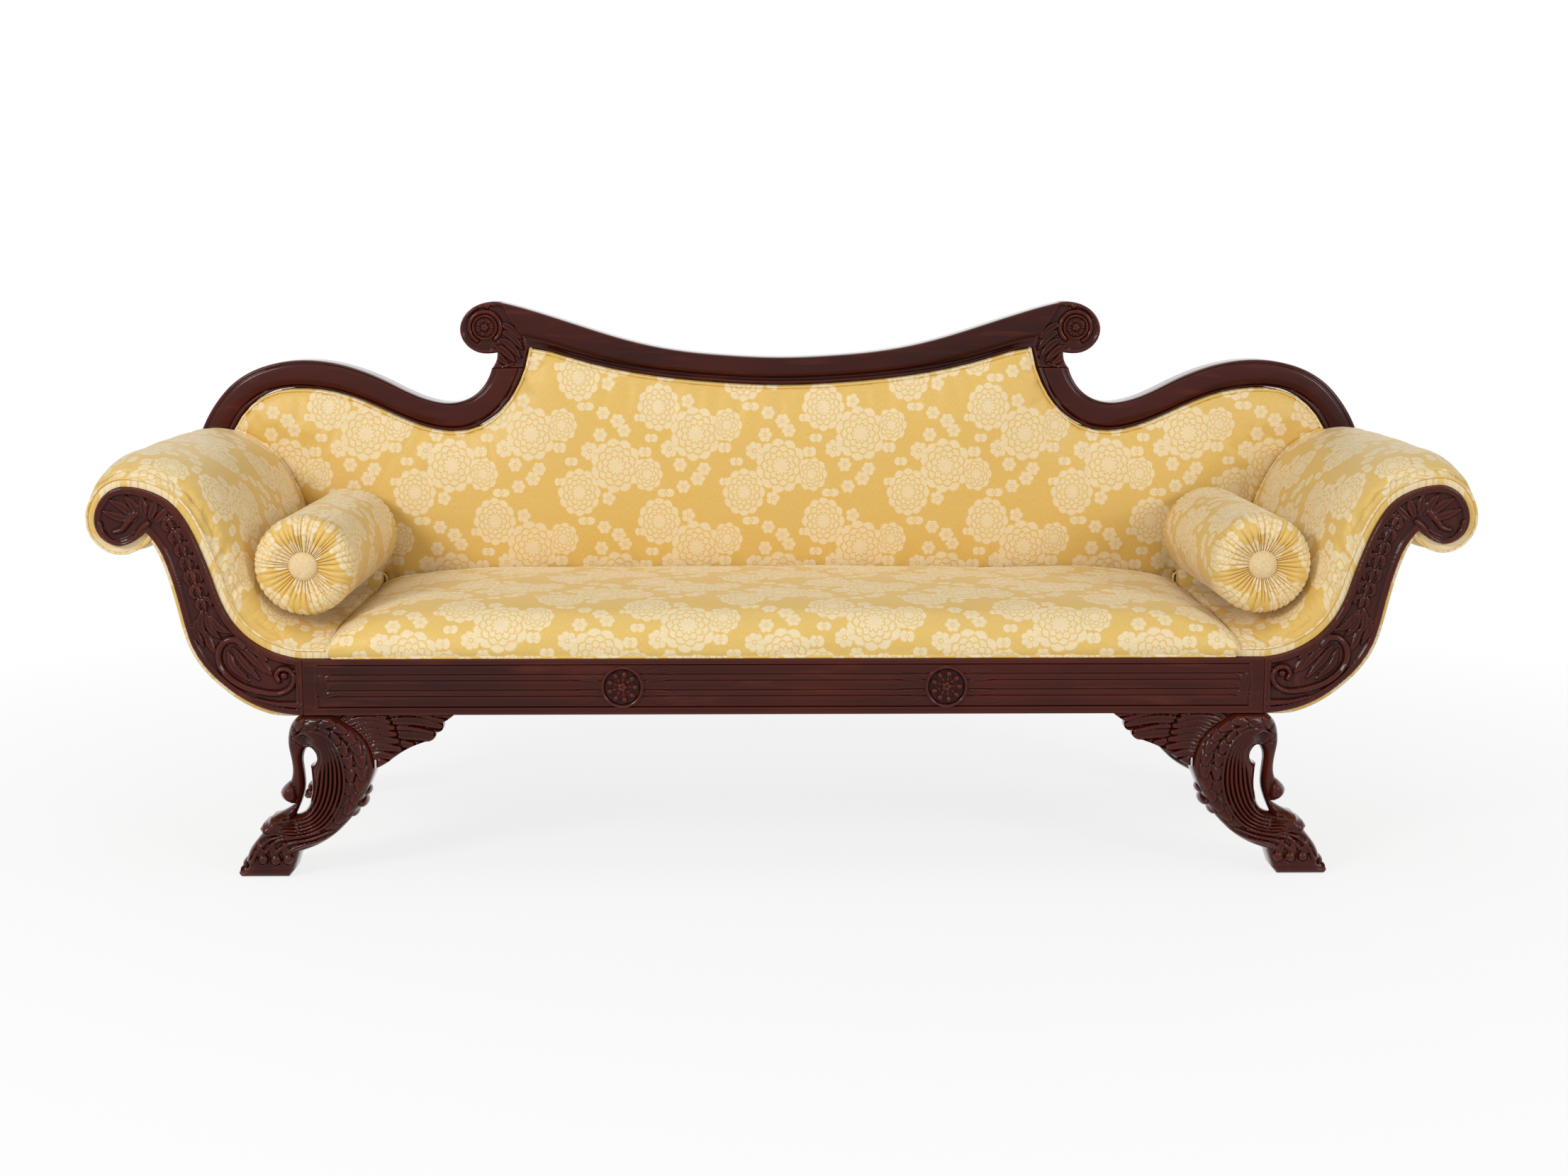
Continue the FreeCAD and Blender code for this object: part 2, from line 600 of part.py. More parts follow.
def seat_section(x, crown):
    """The seat's section from front to back: it rises behind its piping, bulges and runs to the back."""
    z = RAIL_TOP + CLEAR
    deck = RAIL_TOP + 2 * WEB_THICK + HESSIAN + CLEAR
    front = FACE_Y + 1 + PIPING + CLEAR
    step = z + PIPING
    inner = FACE_Y + WEB_EDGE - 1
    top = [(front, step)] + [(front + behind, z + share * crown) for behind, share in SEAT_PROFILE]
    top += [(SEAT_BACK_Y - before, z + share * crown) for before, share in SEAT_REAR]
    base = [(SEAT_BACK_Y, deck), (inner, deck), (inner, z), (front, z)]
    over = sampled([FreeCAD.Vector(x, yy, zz) for yy, zz in top], SEAT_FACETS)
    return loop(over + [FreeCAD.Vector(x, yy, zz) for yy, zz in base])


def seat_pad():
    """The seat: a long crowned pad whose ends draw down to the arms."""
    half = ARM_SEAM_X - CLEAR
    stations = [(share, SEAT_CROWN - left * SEAT_END_DROP) for share, left in SEAT_SWELL]
    left = [seat_section(-f * half, crown) for f, crown in stations]
    right = [seat_section(f * half, crown) for f, crown in stations[-2::-1]]
    return Part.makeLoft(left + right, True, True)


def opening_wire(y, inset, lift):
    """The inside back's outline, drawn in from the show-wood by inset and raised at the bottom by lift."""
    low = RAIL_TOP + TACK_RAIL_LIFT + lift
    side = SIDE_UNDER[::-1]
    rising = [at(u + nu * inset, v + nv * inset, y, RAIL_TOP)
              for (u, v), (nu, nv) in zip(side, edge_normals(side))]
    reach = RAIL_HALF + SCROLL_BORDER[-1][0] - inset
    top = [FreeCAD.Vector(-share * reach, y, RAIL_TOP + v - inset) for share, v in CREST_UNDER[::-1]]
    across = top + [FreeCAD.Vector(-p.x, y, p.z) for p in top[-2::-1]]
    left = [FreeCAD.Vector(rising[0].x, y, low)] + sampled(rising, SIDE_FACETS)
    right = [FreeCAD.Vector(-p.x, y, p.z) for p in left[::-1]]
    return loop(left + sampled(across, CREST_FACETS) + right)


def arm_envelope(share, extra):
    """All that lies under the arm's line, with share of its pad's thickness, as a solid through the back."""
    seat = -(RAIL_HALF - ARM_SEAM_X)
    over = [(seat - extra, share * ARM_EDGE[0][2] + extra)] + arm_over(share, extra)
    widest = max(range(len(over)), key=lambda i: over[i][0])
    y = WOOD_Y - 3 * BACK_CROWN
    top = points(over[:widest + 1], y, RAIL_TOP)
    low = LEG_HEIGHT
    far_x = -2 * RAIL_HALF
    edges = curve(top)
    edges += chain([top[-1], FreeCAD.Vector(far_x, y, top[-1].z), FreeCAD.Vector(far_x, y, low),
                    FreeCAD.Vector(top[0].x, y, low), top[0]])
    return slab(edges, DEPTH_HALF)


def back_pad():
    """The inside back: flat against its hessian, crowned in front, and cut to the arms' rolls."""
    back = CORE_Y - 2 * WEB_THICK - HESSIAN - CLEAR
    stations = [(back, BACK_GAP, 0), (WOOD_Y - 1, BACK_GAP, 0)]
    stations += [(WOOD_Y - share * BACK_CROWN, inset, lift) for share, inset, lift in BACK_SWELL]
    pad = Part.makeLoft([opening_wire(*s) for s in stations], True, True)
    envelope = arm_envelope(1.0, BACK_GAP)
    pad = pad.cut(envelope).cut(mirrored(envelope))
    return max(pad.Solids, key=lambda s: s.Volume)


def outside_back_cover():
    """The fabric over the back of the frame, inside the show-wood and over the arms' back scrolls."""
    y = CORE_BACK_Y
    panel = Part.Face(opening_wire(y, BACK_GAP, -TACK_RAIL_LIFT)).extrude(FreeCAD.Vector(0, COVER, 0))
    below = arm_envelope(0.0, -COVER_LAP)
    panel = panel.cut(below).cut(mirrored(below))
    panel = max(panel.Solids, key=lambda s: s.Volume)
    arm = scroll_board(y, COVER)
    panel = panel.fuse([arm, mirrored(arm), box(-RAIL_HALF, RAIL_HALF, y, y + COVER, LEG_HEIGHT, RAIL_TOP)])
    rail = side_rail()
    return panel.cut(rail).cut(mirrored(rail)).removeSplitter()


def seat_webbing():
    """Jute webs tacked across the seat rails, with long webs over them."""
    half = ARM_SEAM_X - 1
    y0, y1 = FACE_Y + WEB_EDGE, CORE_Y + WEB_TURN
    webs = []
    for i in range(SEAT_WEBS):
        x = -half + WEB_WIDTH / 2 + (2 * half - WEB_WIDTH) * i / (SEAT_WEBS - 1)
        webs.append(box(x - WEB_WIDTH / 2, x + WEB_WIDTH / 2, y0, y1, RAIL_TOP, RAIL_TOP + WEB_THICK))
    z = RAIL_TOP + WEB_THICK
    for i in range(LONG_WEBS):
        y = y0 + WEB_MARGIN + WEB_WIDTH / 2 + (y1 - y0 - 2 * WEB_MARGIN - WEB_WIDTH) * i / (LONG_WEBS - 1)
        webs.append(box(-half, half, y - WEB_WIDTH / 2, y + WEB_WIDTH / 2, z, z + WEB_THICK))
    return Part.makeCompound(webs)


def seat_hessian():
    z = RAIL_TOP + 2 * WEB_THICK
    half = ARM_SEAM_X - 1
    return box(-half, half, FACE_Y + WEB_EDGE, SEAT_BACK_Y - 1, z, z + HESSIAN)


def back_webbing():
    y = CORE_Y - 2 * WEB_THICK
    half = ARM_SEAM_X - 1
    rises = [RAIL_TOP + rise for rise in BACK_WEB_RISES]
    webs = [box(-half, half, y + WEB_THICK, CORE_Y, z, z + WEB_WIDTH) for z in rises]
    for i in range(BACK_WEBS):
        x = BACK_WEB_REACH * (2 * i / (BACK_WEBS - 1) - 1)
        webs.append(box(x - WEB_WIDTH / 2, x + WEB_WIDTH / 2, y, y + WEB_THICK,
                        RAIL_TOP + TACK_RAIL_LIFT, RAIL_TOP + BACK_WEB_HEIGHT))
    return Part.makeCompound(webs)


def back_hessian():
    y = CORE_Y - 2 * WEB_THICK - HESSIAN
    half = ARM_SEAM_X - 1
    top = RAIL_TOP + BACK_WEB_HEIGHT + HESSIAN_OVER
    return box(-half, half, y, y + HESSIAN, RAIL_TOP + TACK_RAIL_LIFT, top)


def dust_cover():
    half = RAIL_HALF - DUST_END
    return box(-half, half, FACE_Y + WING_SETBACK + WING_THICK + 2, CORE_BACK_Y - DUST_BACK,
               LEG_HEIGHT - DUST_COVER, LEG_HEIGHT)


def seat_piping():
    half = ARM_SEAM_X - CLEAR
    return box(-half, half, FACE_Y + 1, FACE_Y + 1 + PIPING, RAIL_TOP, RAIL_TOP + PIPING)


def arm_piping():
    """The piped seam round the front of the arm, a little outside the scroll's edge."""
    y = SCROLL_BACK_Y - ARM_PIPING
    normals = edge_normals(ARM_EDGE)
    near = [at(u + nu * PAD_GAP, v + nv * PAD_GAP, y, RAIL_TOP) for (u, v, _), (nu, nv) in zip(ARM_EDGE, normals)]
    far = [spot + FreeCAD.Vector(-nu, 0, nv) * ARM_PIPING for spot, (nu, nv) in zip(near, normals)]
    band = Part.Face(loop(even_spots(near) + even_spots(far)[::-1]))
    return band.extrude(FreeCAD.Vector(0, ARM_PIPING, 0))


# Bolsters


def bolster_height():
    """How high the bolster's axis lies, so that it rests in the hollow of the arm's pad."""
    seat = -(RAIL_HALF - ARM_SEAM_X)
    over = [(seat, ARM_EDGE[0][2])] + arm_over(1.0)
    hollow = Part.Wire(curve(points(over, 0, RAIL_TOP)))
    low, high = RAIL_TOP + BOLSTER_RADIUS, RAIL_TOP + 4 * BOLSTER_RADIUS
    for _ in range(40):
        z = (low + high) / 2
        spot = Part.Vertex(FreeCAD.Vector(-BOLSTER_X, 0, z))
        if hollow.distToShape(spot)[0] < BOLSTER_RADIUS + CLEAR:
            low = z
        else:
            high = z
    return high


def bolster_ring(y, radius, pleat):
    """One section of the bolster; where it is gathered, every other spot lies in by the pleat's depth."""
    z = bolster_height()
    spots = []
    for i in range(2 * PLEATS):
        turn = math.pi * i / PLEATS
        size = radius - pleat * (i % 2)
        spots.append(FreeCAD.Vector(-BOLSTER_X + size * math.sin(turn), y, z + size * math.cos(turn)))
    return spots


def bolster():
    """A round bolster: a full tube whose ends are gathered in pleats to a sunk button."""
    half = BOLSTER_LENGTH / 2
    end = [(half - BOLSTER_DISH, BUTTON_RADIUS, 0.0)]
    for i in range(END_STEPS, -1, -1):
        turn = math.pi / 2 * i / END_STEPS
        along = half - BOLSTER_ROUND * (1 - math.sin(turn))
        radius = BOLSTER_RADIUS - BOLSTER_ROUND * (1 - math.cos(turn))
        end.append((along, radius, PLEAT_DEPTH * math.sin(turn)))
    rings = [bolster_ring(BOLSTER_Y - y, radius, pleat) for y, radius, pleat in end]
    rings += [bolster_ring(BOLSTER_Y + y, radius, pleat) for y, radius, pleat in end[::-1]]
    return faceted(rings)


def bolster_buttons():
    z = bolster_height()
    half = BOLSTER_LENGTH / 2 - BOLSTER_DISH
    caps = []
    for y in (BOLSTER_Y - half, BOLSTER_Y + half):
        step = -BUTTON_THICK if y < BOLSTER_Y else BUTTON_THICK
        y0, y1 = min(y, y + step), max(y, y + step)
        caps.append(prism(ROSETTE_SIDES, BUTTON_RADIUS - 1, -BOLSTER_X, z, y0, y1))
    return Part.makeCompound(caps)


# Every piece by name


def pieces():
    """Each node's name and its solid, or group of solids."""
    paired = {
        "rail_rosette": rail_rosette(),
        "end_seat_rail": end_seat_rail(),
        "arm_scroll_front": scroll_board(FACE_Y, SCROLL_THICK),
        "arm_scroll_back": scroll_board(WOOD_Y, CORE_BACK_Y - WOOD_Y),
        "arm_slats": arm_slats(),
        "arm_pad": arm_pad(),
        "arm_outside_cover": arm_cover(),
        "arm_piping": arm_piping(),
        "back_side_rail": side_rail(),
        "crest_scroll": crest_scroll(),
        "crest_rosette": crest_rosette(),
        "leg_front": leg_with_beads(FACE_Y, FRONT_BOLT_Y),
        "leg_back": leg_with_beads(BACK_LEG_Y, BACK_BOLT_Y),
        "wing": wing(),
        "bolster": bolster(),
        "bolster_buttons": bolster_buttons(),
    }
    paired["back_side_rail"] = paired["back_side_rail"].cut(scroll_board(WOOD_Y, BACK_WOOD_THICK))
    paired["arm_pad"] = paired["arm_pad"].cut(paired["back_side_rail"])
    named = {}
    for name, shape in paired.items():
        named[name + "_left"] = shape
        named[name + "_right"] = mirrored(shape)
    plates = leg_plate()
    bolts = [bolt(FRONT_BOLT_Y), bolt(BACK_BOLT_Y)]
    named.update({
        "front_seat_rail": front_seat_rail(),
        "back_seat_rail": back_seat_rail(),
        "seat_bearers": seat_bearers(),
        "corner_blocks": corner_blocks(),
        "crest_rail": crest_rail(),
        "back_posts": back_posts(),
        "back_tack_rail": back_tack_rail(),
        "leg_plates": Part.makeCompound([plates, mirrored(plates)]),
        "leg_bolts": Part.makeCompound(bolts + [mirrored(b) for b in bolts]),
        "seat_webbing": seat_webbing(),
        "seat_hessian": seat_hessian(),
        "seat_pad": seat_pad(),
        "seat_piping": seat_piping(),
        "back_webbing": back_webbing(),
        "back_hessian": back_hessian(),
        "back_pad": back_pad(),
        "outside_back_cover": outside_back_cover(),
        "dust_cover": dust_cover(),
    })
    return named


def main():
    os.makedirs("parts", exist_ok=True)
    for name, shape in pieces().items():
        shape.exportStep("parts/" + name + ".step")
        box_ = shape.BoundBox
        print(name, len(shape.Solids), "valid" if shape.isValid() else "NOT VALID",
              round(shape.Volume / 1000), "cm3", [round(v) for v in (box_.XMin, box_.XMax, box_.YMin,
                                                                       box_.YMax, box_.ZMin, box_.ZMax)])


main()
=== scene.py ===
# %% [markdown]
# # A recamier, dressed in Blender
# The couch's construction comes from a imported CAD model, which is loaded as a fixed frame. Blender gives it
# its looks: carved and polished mahogany, damask stretched over stuffing, piping and gathered bolsters.
# All lengths are metres, X runs along the seat, -Y is the front and Z is up.

# %% Load the fixed frame
import math

import bmesh
import bpy
import numpy as np
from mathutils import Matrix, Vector
from mathutils.geometry import delaunay_2d_cdt


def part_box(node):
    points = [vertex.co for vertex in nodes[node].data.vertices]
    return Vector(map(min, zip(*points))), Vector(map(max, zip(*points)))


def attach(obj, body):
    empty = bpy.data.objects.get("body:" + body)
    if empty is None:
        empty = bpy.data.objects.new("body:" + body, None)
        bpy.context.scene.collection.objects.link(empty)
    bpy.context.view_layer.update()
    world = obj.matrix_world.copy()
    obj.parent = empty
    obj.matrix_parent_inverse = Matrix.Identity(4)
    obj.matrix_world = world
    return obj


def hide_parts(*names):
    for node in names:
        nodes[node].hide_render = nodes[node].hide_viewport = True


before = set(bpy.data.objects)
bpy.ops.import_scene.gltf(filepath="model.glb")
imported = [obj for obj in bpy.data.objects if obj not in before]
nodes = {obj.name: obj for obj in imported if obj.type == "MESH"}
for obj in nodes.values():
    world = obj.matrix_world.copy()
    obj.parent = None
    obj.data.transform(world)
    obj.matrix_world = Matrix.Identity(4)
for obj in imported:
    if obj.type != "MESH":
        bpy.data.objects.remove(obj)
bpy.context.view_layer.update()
MM = 0.001
print("nodes", len(nodes))

# %% [markdown]
# ## Camera, floor and light
# The photograph was taken from a little above the seat with a normal lens, so the upright lines lean in
# slightly. A 50 mm lens 3.9 m away with the horizon above the back gives the same leaning lines. The backdrop
# is white by its own colour, so the lamps can stay soft and plain.

# %% Camera
scene = bpy.context.scene
scene.view_settings.view_transform = "Standard"
CAMERA_PLACE = (-0.045, -3.8725, 1.0373)
CAMERA_TILT = 81.311
CAMERA_YAW = -0.71
camera = bpy.data.objects.new("camera", bpy.data.cameras.new("camera"))
camera.data.lens = 50.0
camera.data.sensor_width = 36.0
camera.location = CAMERA_PLACE
camera.rotation_euler = (math.radians(CAMERA_TILT), 0.0, math.radians(CAMERA_YAW))
scene.collection.objects.link(camera)
scene.camera = camera
print("camera at", CAMERA_PLACE)

# %% [markdown]
# ## Arithmetic on shader sockets
# A material is a formula over the surface. Python's operators can write that formula: this class holds a
# socket, and each operator adds the Math node that computes it. Any other node comes from one method.


# %% A class for socket arithmetic
class Value:
    """A node's output that understands Python's arithmetic."""

    def __init__(self, maker, socket):
        self.maker = maker
        self.socket = socket

    def math(self, operation, *others, clamp=False):
        settings = {"operation": operation, "use_clamp": clamp}
        return self.maker.add("ShaderNodeMath", settings, [self, *others])

    def __add__(self, other):
        return self.math("ADD", other)

    def __sub__(self, other):
        return self.math("SUBTRACT", other)

    def __mul__(self, other):
        return self.math("MULTIPLY", other)

    def __truediv__(self, other):
        return self.math("DIVIDE", other)

    def __lt__(self, other):
        return self.math("LESS_THAN", other)

    def __gt__(self, other):
        return self.math("GREATER_THAN", other)

    def __abs__(self):
        return self.math("ABSOLUTE")

    def __rsub__(self, other):
        return self.maker.add("ShaderNodeMath", {"operation": "SUBTRACT"}, [other, self])

    def __rtruediv__(self, other):
        return self.maker.add("ShaderNodeMath", {"operation": "DIVIDE"}, [other, self])

    __radd__ = __add__
    __rmul__ = __mul__

    def rise(self, low, high):
        """0 below low, 1 above high and a straight ramp between."""
        return ((self - low) / (high - low)).math("ADD", 0.0, clamp=True)


class Maker:
    """Adds nodes to a node tree, from a type, its settings and its sockets' values or links."""

    def __init__(self, tree):
        self.tree = tree

    def add(self, kind, settings=None, inputs=(), output=0):
        node = self.tree.nodes.new(kind)
        for key, value in (settings or {}).items():
            setattr(node, key, value)
        items = inputs.items() if isinstance(inputs, dict) else enumerate(inputs)
        for key, value in items:
            if isinstance(value, Value):
                self.tree.links.new(value.socket, node.inputs[key])
            else:
                node.inputs[key].default_value = value
        return Value(self, node.outputs[output]) if len(node.outputs) else None

    def noise(self, where, scale, detail=3.0, roughness=0.5):
        sockets = {"Vector": where, "Scale": scale, "Detail": detail, "Roughness": roughness}
        return self.add("ShaderNodeTexNoise", {}, sockets)

    def mix(self, share, low, high):
        """A colour between two colours."""
        return self.add("ShaderNodeMix", {"data_type": "RGBA"}, {0: share, 6: low, 7: high}, output=2)

    def stretch(self, where, scale):
        return self.add("ShaderNodeMapping", {}, {"Vector": where, "Scale": scale})

    def bump(self, height, distance, strength=1.0):
        sockets = {"Height": height, "Distance": distance, "Strength": strength}
        return self.add("ShaderNodeBump", {}, sockets)


def material(name, sockets):
    """A new material with one Principled shader; sockets holds the values that are the same all over."""
    made = bpy.data.materials.new(name)
    made.use_nodes = True
    made.node_tree.nodes.clear()
    maker = Maker(made.node_tree)
    shader = maker.add("ShaderNodeBsdfPrincipled", {}, sockets)
    maker.add("ShaderNodeOutputMaterial", {}, {"Surface": shader})
    return made, maker, shader.socket.node


def wire(maker, shader, **links):
    """Links values to the shader's sockets; an underscore stands for a space in a socket's name."""
    for key, value in links.items():
        maker.tree.links.new(value.socket, shader.inputs[key.replace("_", " ")])


def linear(level):
    """One channel as it looks on screen, 0 to 255, turned to linear light."""
    if level > 10:
        return ((level / 255 + 0.055) / 1.055) ** 2.4
    return level / 255 / 12.92


def rgba(red, green, blue):
    """An opaque colour from the three channels as they look on screen."""
    return (linear(red), linear(green), linear(blue), 1.0)


print("shader arithmetic ready")

# %% [markdown]
# ## Stage
# The floor shows most of its light as its own white glow to the camera, and the rest as lit surface, so the
# backdrop is white and the couch's shadow stays on it.

# %% Floor, backdrop and lamps
def backdrop_rays(maker):
    """1 for the rays that should find a white backdrop: the camera's, and reflected and refracted ones."""
    total = maker.add("ShaderNodeLightPath", output="Is Camera Ray")
    for kind in ("Is Glossy Ray", "Is Transmission Ray"):
        total = total.math("MAXIMUM", maker.add("ShaderNodeLightPath", output=kind))
    return total


FLOOR_HALF = 40.0
WHITE_UNDER = 0.82  # share of the floor's own white below the couch
WHITE_FROM, WHITE_FULL = 0.9, 2.6  # distances between which that share rises to 1
ROOM_LIGHT = (0.34, 0.34, 0.35, 1)
corners = [(-FLOOR_HALF, -FLOOR_HALF, 0), (FLOOR_HALF, -FLOOR_HALF, 0),
           (FLOOR_HALF, FLOOR_HALF, 0), (-FLOOR_HALF, FLOOR_HALF, 0)]
floor_mesh = bpy.data.meshes.new("floor")
floor_mesh.from_pydata(corners, [], [(0, 1, 2, 3)])
floor = bpy.data.objects.new("floor", floor_mesh)
scene.collection.objects.link(floor)
floor_material = bpy.data.materials.new("floor_white")
floor_material.use_nodes = True
floor_material.node_tree.nodes.clear()
maker = Maker(floor_material.node_tree)
glow = maker.add("ShaderNodeEmission", {}, {"Color": (1, 1, 1, 1), "Strength": 1.0})
lit = maker.add("ShaderNodeBsdfDiffuse", {}, {"Color": (0.86, 0.86, 0.86, 1)})
seen = backdrop_rays(maker)
where = maker.add("ShaderNodeTexCoord", output="Object")
far = maker.add("ShaderNodeVectorMath", {"operation": "LENGTH"}, [where], output="Value")
white_share = far.rise(WHITE_FROM, WHITE_FULL) * (1 - WHITE_UNDER) + WHITE_UNDER
floor_mix = maker.add("ShaderNodeMixShader", {}, [seen * white_share, lit, glow])
maker.add("ShaderNodeOutputMaterial", {}, {"Surface": floor_mix})
floor_mesh.materials.append(floor_material)

world = bpy.data.worlds.new("studio")
scene.world = world
world.use_nodes = True
world.node_tree.nodes.clear()
maker = Maker(world.node_tree)
shade = maker.mix(backdrop_rays(maker), ROOM_LIGHT, (1, 1, 1, 1))
sky = maker.add("ShaderNodeBackground", {}, {"Color": shade, "Strength": 1.0})
maker.add("ShaderNodeOutputWorld", {}, {"Surface": sky})


def lamp(name, place, aim, size, power):
    """A soft square lamp turned towards a point."""
    data = bpy.data.lights.new(name, "AREA")
    data.size = size
    data.energy = power
    made = bpy.data.objects.new(name, data)
    made.location = place
    made.rotation_euler = (Vector(aim) - Vector(place)).to_track_quat("-Z", "Y").to_euler()
    scene.collection.objects.link(made)


LAMP_AIM = (0, 0, 0.4)
lamp("key", (-3.0, -3.6, 2.6), LAMP_AIM, 1.2, 112)
lamp("fill", (3.4, -3.8, 2.0), LAMP_AIM, 1.4, 70)
lamp("top", (0.0, -0.4, 3.6), LAMP_AIM, 2.0, 16)
print("stage ready")

# %% [markdown]
# ## Mahogany
# The show-wood is mahogany with a dark red-brown stain under a hard gloss. Long soft streaks run with the
# grain, painted shade darkens the carving's hollows, and a painted highlight makes its high spots redder. A
# carved mesh carries the attribute "hollow" for that colouring: above 0 in its grooves, below 0 on its high
# spots.


# %% Polished woods
def mahogany(name, grain):
    """Polished mahogany; grain scales the noise, small along the grain."""
    made, maker, shader = material(name, {
        "Roughness": 0.34, "Coat Weight": 0.7, "Coat Roughness": 0.05, "Coat IOR": 1.26,
        "Specular IOR Level": 0.08,
    })
    where = maker.add("ShaderNodeTexCoord", output="Object")
    streaks = maker.noise(maker.stretch(where, grain), 9.0, 5.0, 0.62)
    pores = maker.noise(maker.stretch(where, grain), 60.0, 3.0, 0.6)
    clouds = maker.noise(where, 5.0, 2.0)
    hollow = maker.add("ShaderNodeAttribute", {"attribute_name": "hollow"}, output="Fac")
    warmth = (streaks * 0.8 + clouds * 0.45 - 0.3).rise(0.12, 0.78)
    base = maker.mix(warmth, rgba(42, 11, 8), rgba(86, 27, 16))
    rubbed = maker.mix(pores.rise(0.55, 0.8) * 0.35, base, rgba(120, 52, 30))
    # Painted shade: the colour darkens to near black in the carving's hollows.
    hollow_shaded = maker.mix(hollow.rise(0.0, 1.0) * 0.75, rubbed, rgba(20, 7, 6))
    # Painted highlight: the high spots turn a lighter red.
    high_spots_highlighted = maker.mix((0.0 - hollow).rise(0.2, 1.4) * 0.35, hollow_shaded, rgba(112, 46, 28))
    relief = pores * 0.3 + streaks * 0.7
    wire(maker, shader, Base_Color=high_spots_highlighted, Roughness=pores * 0.12 + 0.26 + hollow * 0.12,
         Normal=maker.bump(relief, 0.0004, 0.35))
    return made


rail_wood = mahogany("mahogany_rail", (0.12, 1.0, 1.0))
carved_wood = mahogany("mahogany_carved", (1.0, 1.0, 0.25))


def plain_wood(name, light, dark):
    """Sawn hardwood for the hidden frame."""
    made, maker, shader = material(name, {"Roughness": 0.7})
    where = maker.add("ShaderNodeTexCoord", output="Object")
    streaks = maker.noise(maker.stretch(where, (0.2, 1.0, 1.0)), 22.0, 4.0, 0.6)
    wire(maker, shader, Base_Color=maker.mix(streaks.rise(0.3, 0.7), light, dark),
         Roughness=streaks * 0.2 + 0.6, Normal=maker.bump(streaks, 0.0006, 0.5))
    return made


hidden_wood = plain_wood("beech_frame", rgba(196, 160, 112), rgba(150, 112, 74))
print("woods ready")

# %% [markdown]
# ## Damask
# Damask is one yarn woven two ways: a satin ground and a matt figure. The figure here is a repeat of two
# mirrored sprays: blossoms with ringed petals, small flowers and leaf pairs. Every flower in the repeat has
# a place, a size and a petal count. The shader finds the nearest one and draws it by one petal formula.

# %% The repeat's own flowers
REPEAT_WIDTH = 0.310
REPEAT_HEIGHT = 0.215
SECOND_SPRAY = (150, -155)  # the mirrored spray's place beside the first one
# Each flower in millimetres: across, up, half width and half height. The last number counts its petals.
FLOWERS = [
    (0, 0, 48, 51, 11), (-70, -50, 40, 45, 12), (58, -16, 29, 32, 9), (-50, 28, 17, 17, 7),
    (-30, 58, 13, 14, 6), (15, 66, 13, 13, 6), (3, 84, 14, 14, 6), (-24, 99, 13, 13, 6),
    (-15, -61, 13, 14, 5), (-84, 8, 12, 13, 2), (-107, -30, 9, 12, 2), (-57, -104, 16, 13, 2),
    (54, 26, 12, 16, 2),
]
SECOND = [(x + SECOND_SPRAY[0], SECOND_SPRAY[1] - y, wide, high, petals)
          for x, y, wide, high, petals in FLOWERS]


def nearest_flower(maker, cloth):
    """The point in its nearest flower's own frame, its distance in petal lengths and the petal count."""
    best = None
    for x, y, half_x, half_y, petals in FLOWERS + SECOND:
        step = maker.add("ShaderNodeVectorMath", {"operation": "SUBTRACT"}, [cloth, (x * MM, y * MM, 0)])
        low = (-REPEAT_WIDTH / 2, -REPEAT_HEIGHT / 2, -0.5)
        high = (REPEAT_WIDTH / 2, REPEAT_HEIGHT / 2, 0.5)
        step = maker.add("ShaderNodeVectorMath", {"operation": "WRAP"}, [step, high, low])
        scale = (1 / (half_x * MM), 1 / (half_y * MM), 0)
        step = maker.add("ShaderNodeVectorMath", {"operation": "MULTIPLY"}, [step, scale])
        far = maker.add("ShaderNodeVectorMath", {"operation": "LENGTH"}, [step], output="Value")
        if best is None:
            best = (step, far, petals)
            continue
        closer = far < best[1]
        where = maker.add("ShaderNodeMix", {"data_type": "VECTOR"}, {0: closer, 4: best[0], 5: step},
                          output=1)
        count = maker.add("ShaderNodeMix", {"data_type": "FLOAT"}, {0: closer, 2: best[2], 3: petals})
        best = (where, far.math("MINIMUM", best[1]), count)
    return best


def petal_figure(maker, cloth):
    """1 on the woven figure and 0 on the ground and on the fine lines between petals."""
    where, far, petals = nearest_flower(maker, cloth)
    parts = maker.add("ShaderNodeSeparateXYZ", {}, [where])
    across = Value(maker, parts.socket.node.outputs[0])
    up = Value(maker, parts.socket.node.outputs[1])
    turn = up.math("ARCTAN2", across) * petals * 0.5
    lobes = abs(turn.math("COSINE"))
    between = abs(turn.math("SINE"))
    depth = 1.25 / petals
    edge = 1 - depth + lobes * depth
    figure = 1 - (far - edge).rise(-0.02, 0.03)
    many = petals > 8.5
    fine = 0.0
    for ring, lobe in ((0.66, between), (0.47, lobes), (0.27, between)):
        gap = abs(far - (lobe * 0.11 + ring))
        fine = (1 - gap.rise(0.018, 0.05)).math("MAXIMUM", fine)
    heart = 1 - abs(far - 0.22).rise(0.03, 0.08)
    split = (1 - lobes.rise(0.03, 0.16)) * far.rise(0.3, 0.36)
    outer_split = (1 - lobes.rise(0.03, 0.14)) * far.rise(0.68, 0.72)
    lines = many * fine.math("MAXIMUM", outer_split) + (1 - many) * split.math("MAXIMUM", heart)
    return figure, figure * (1 - lines * 0.85)


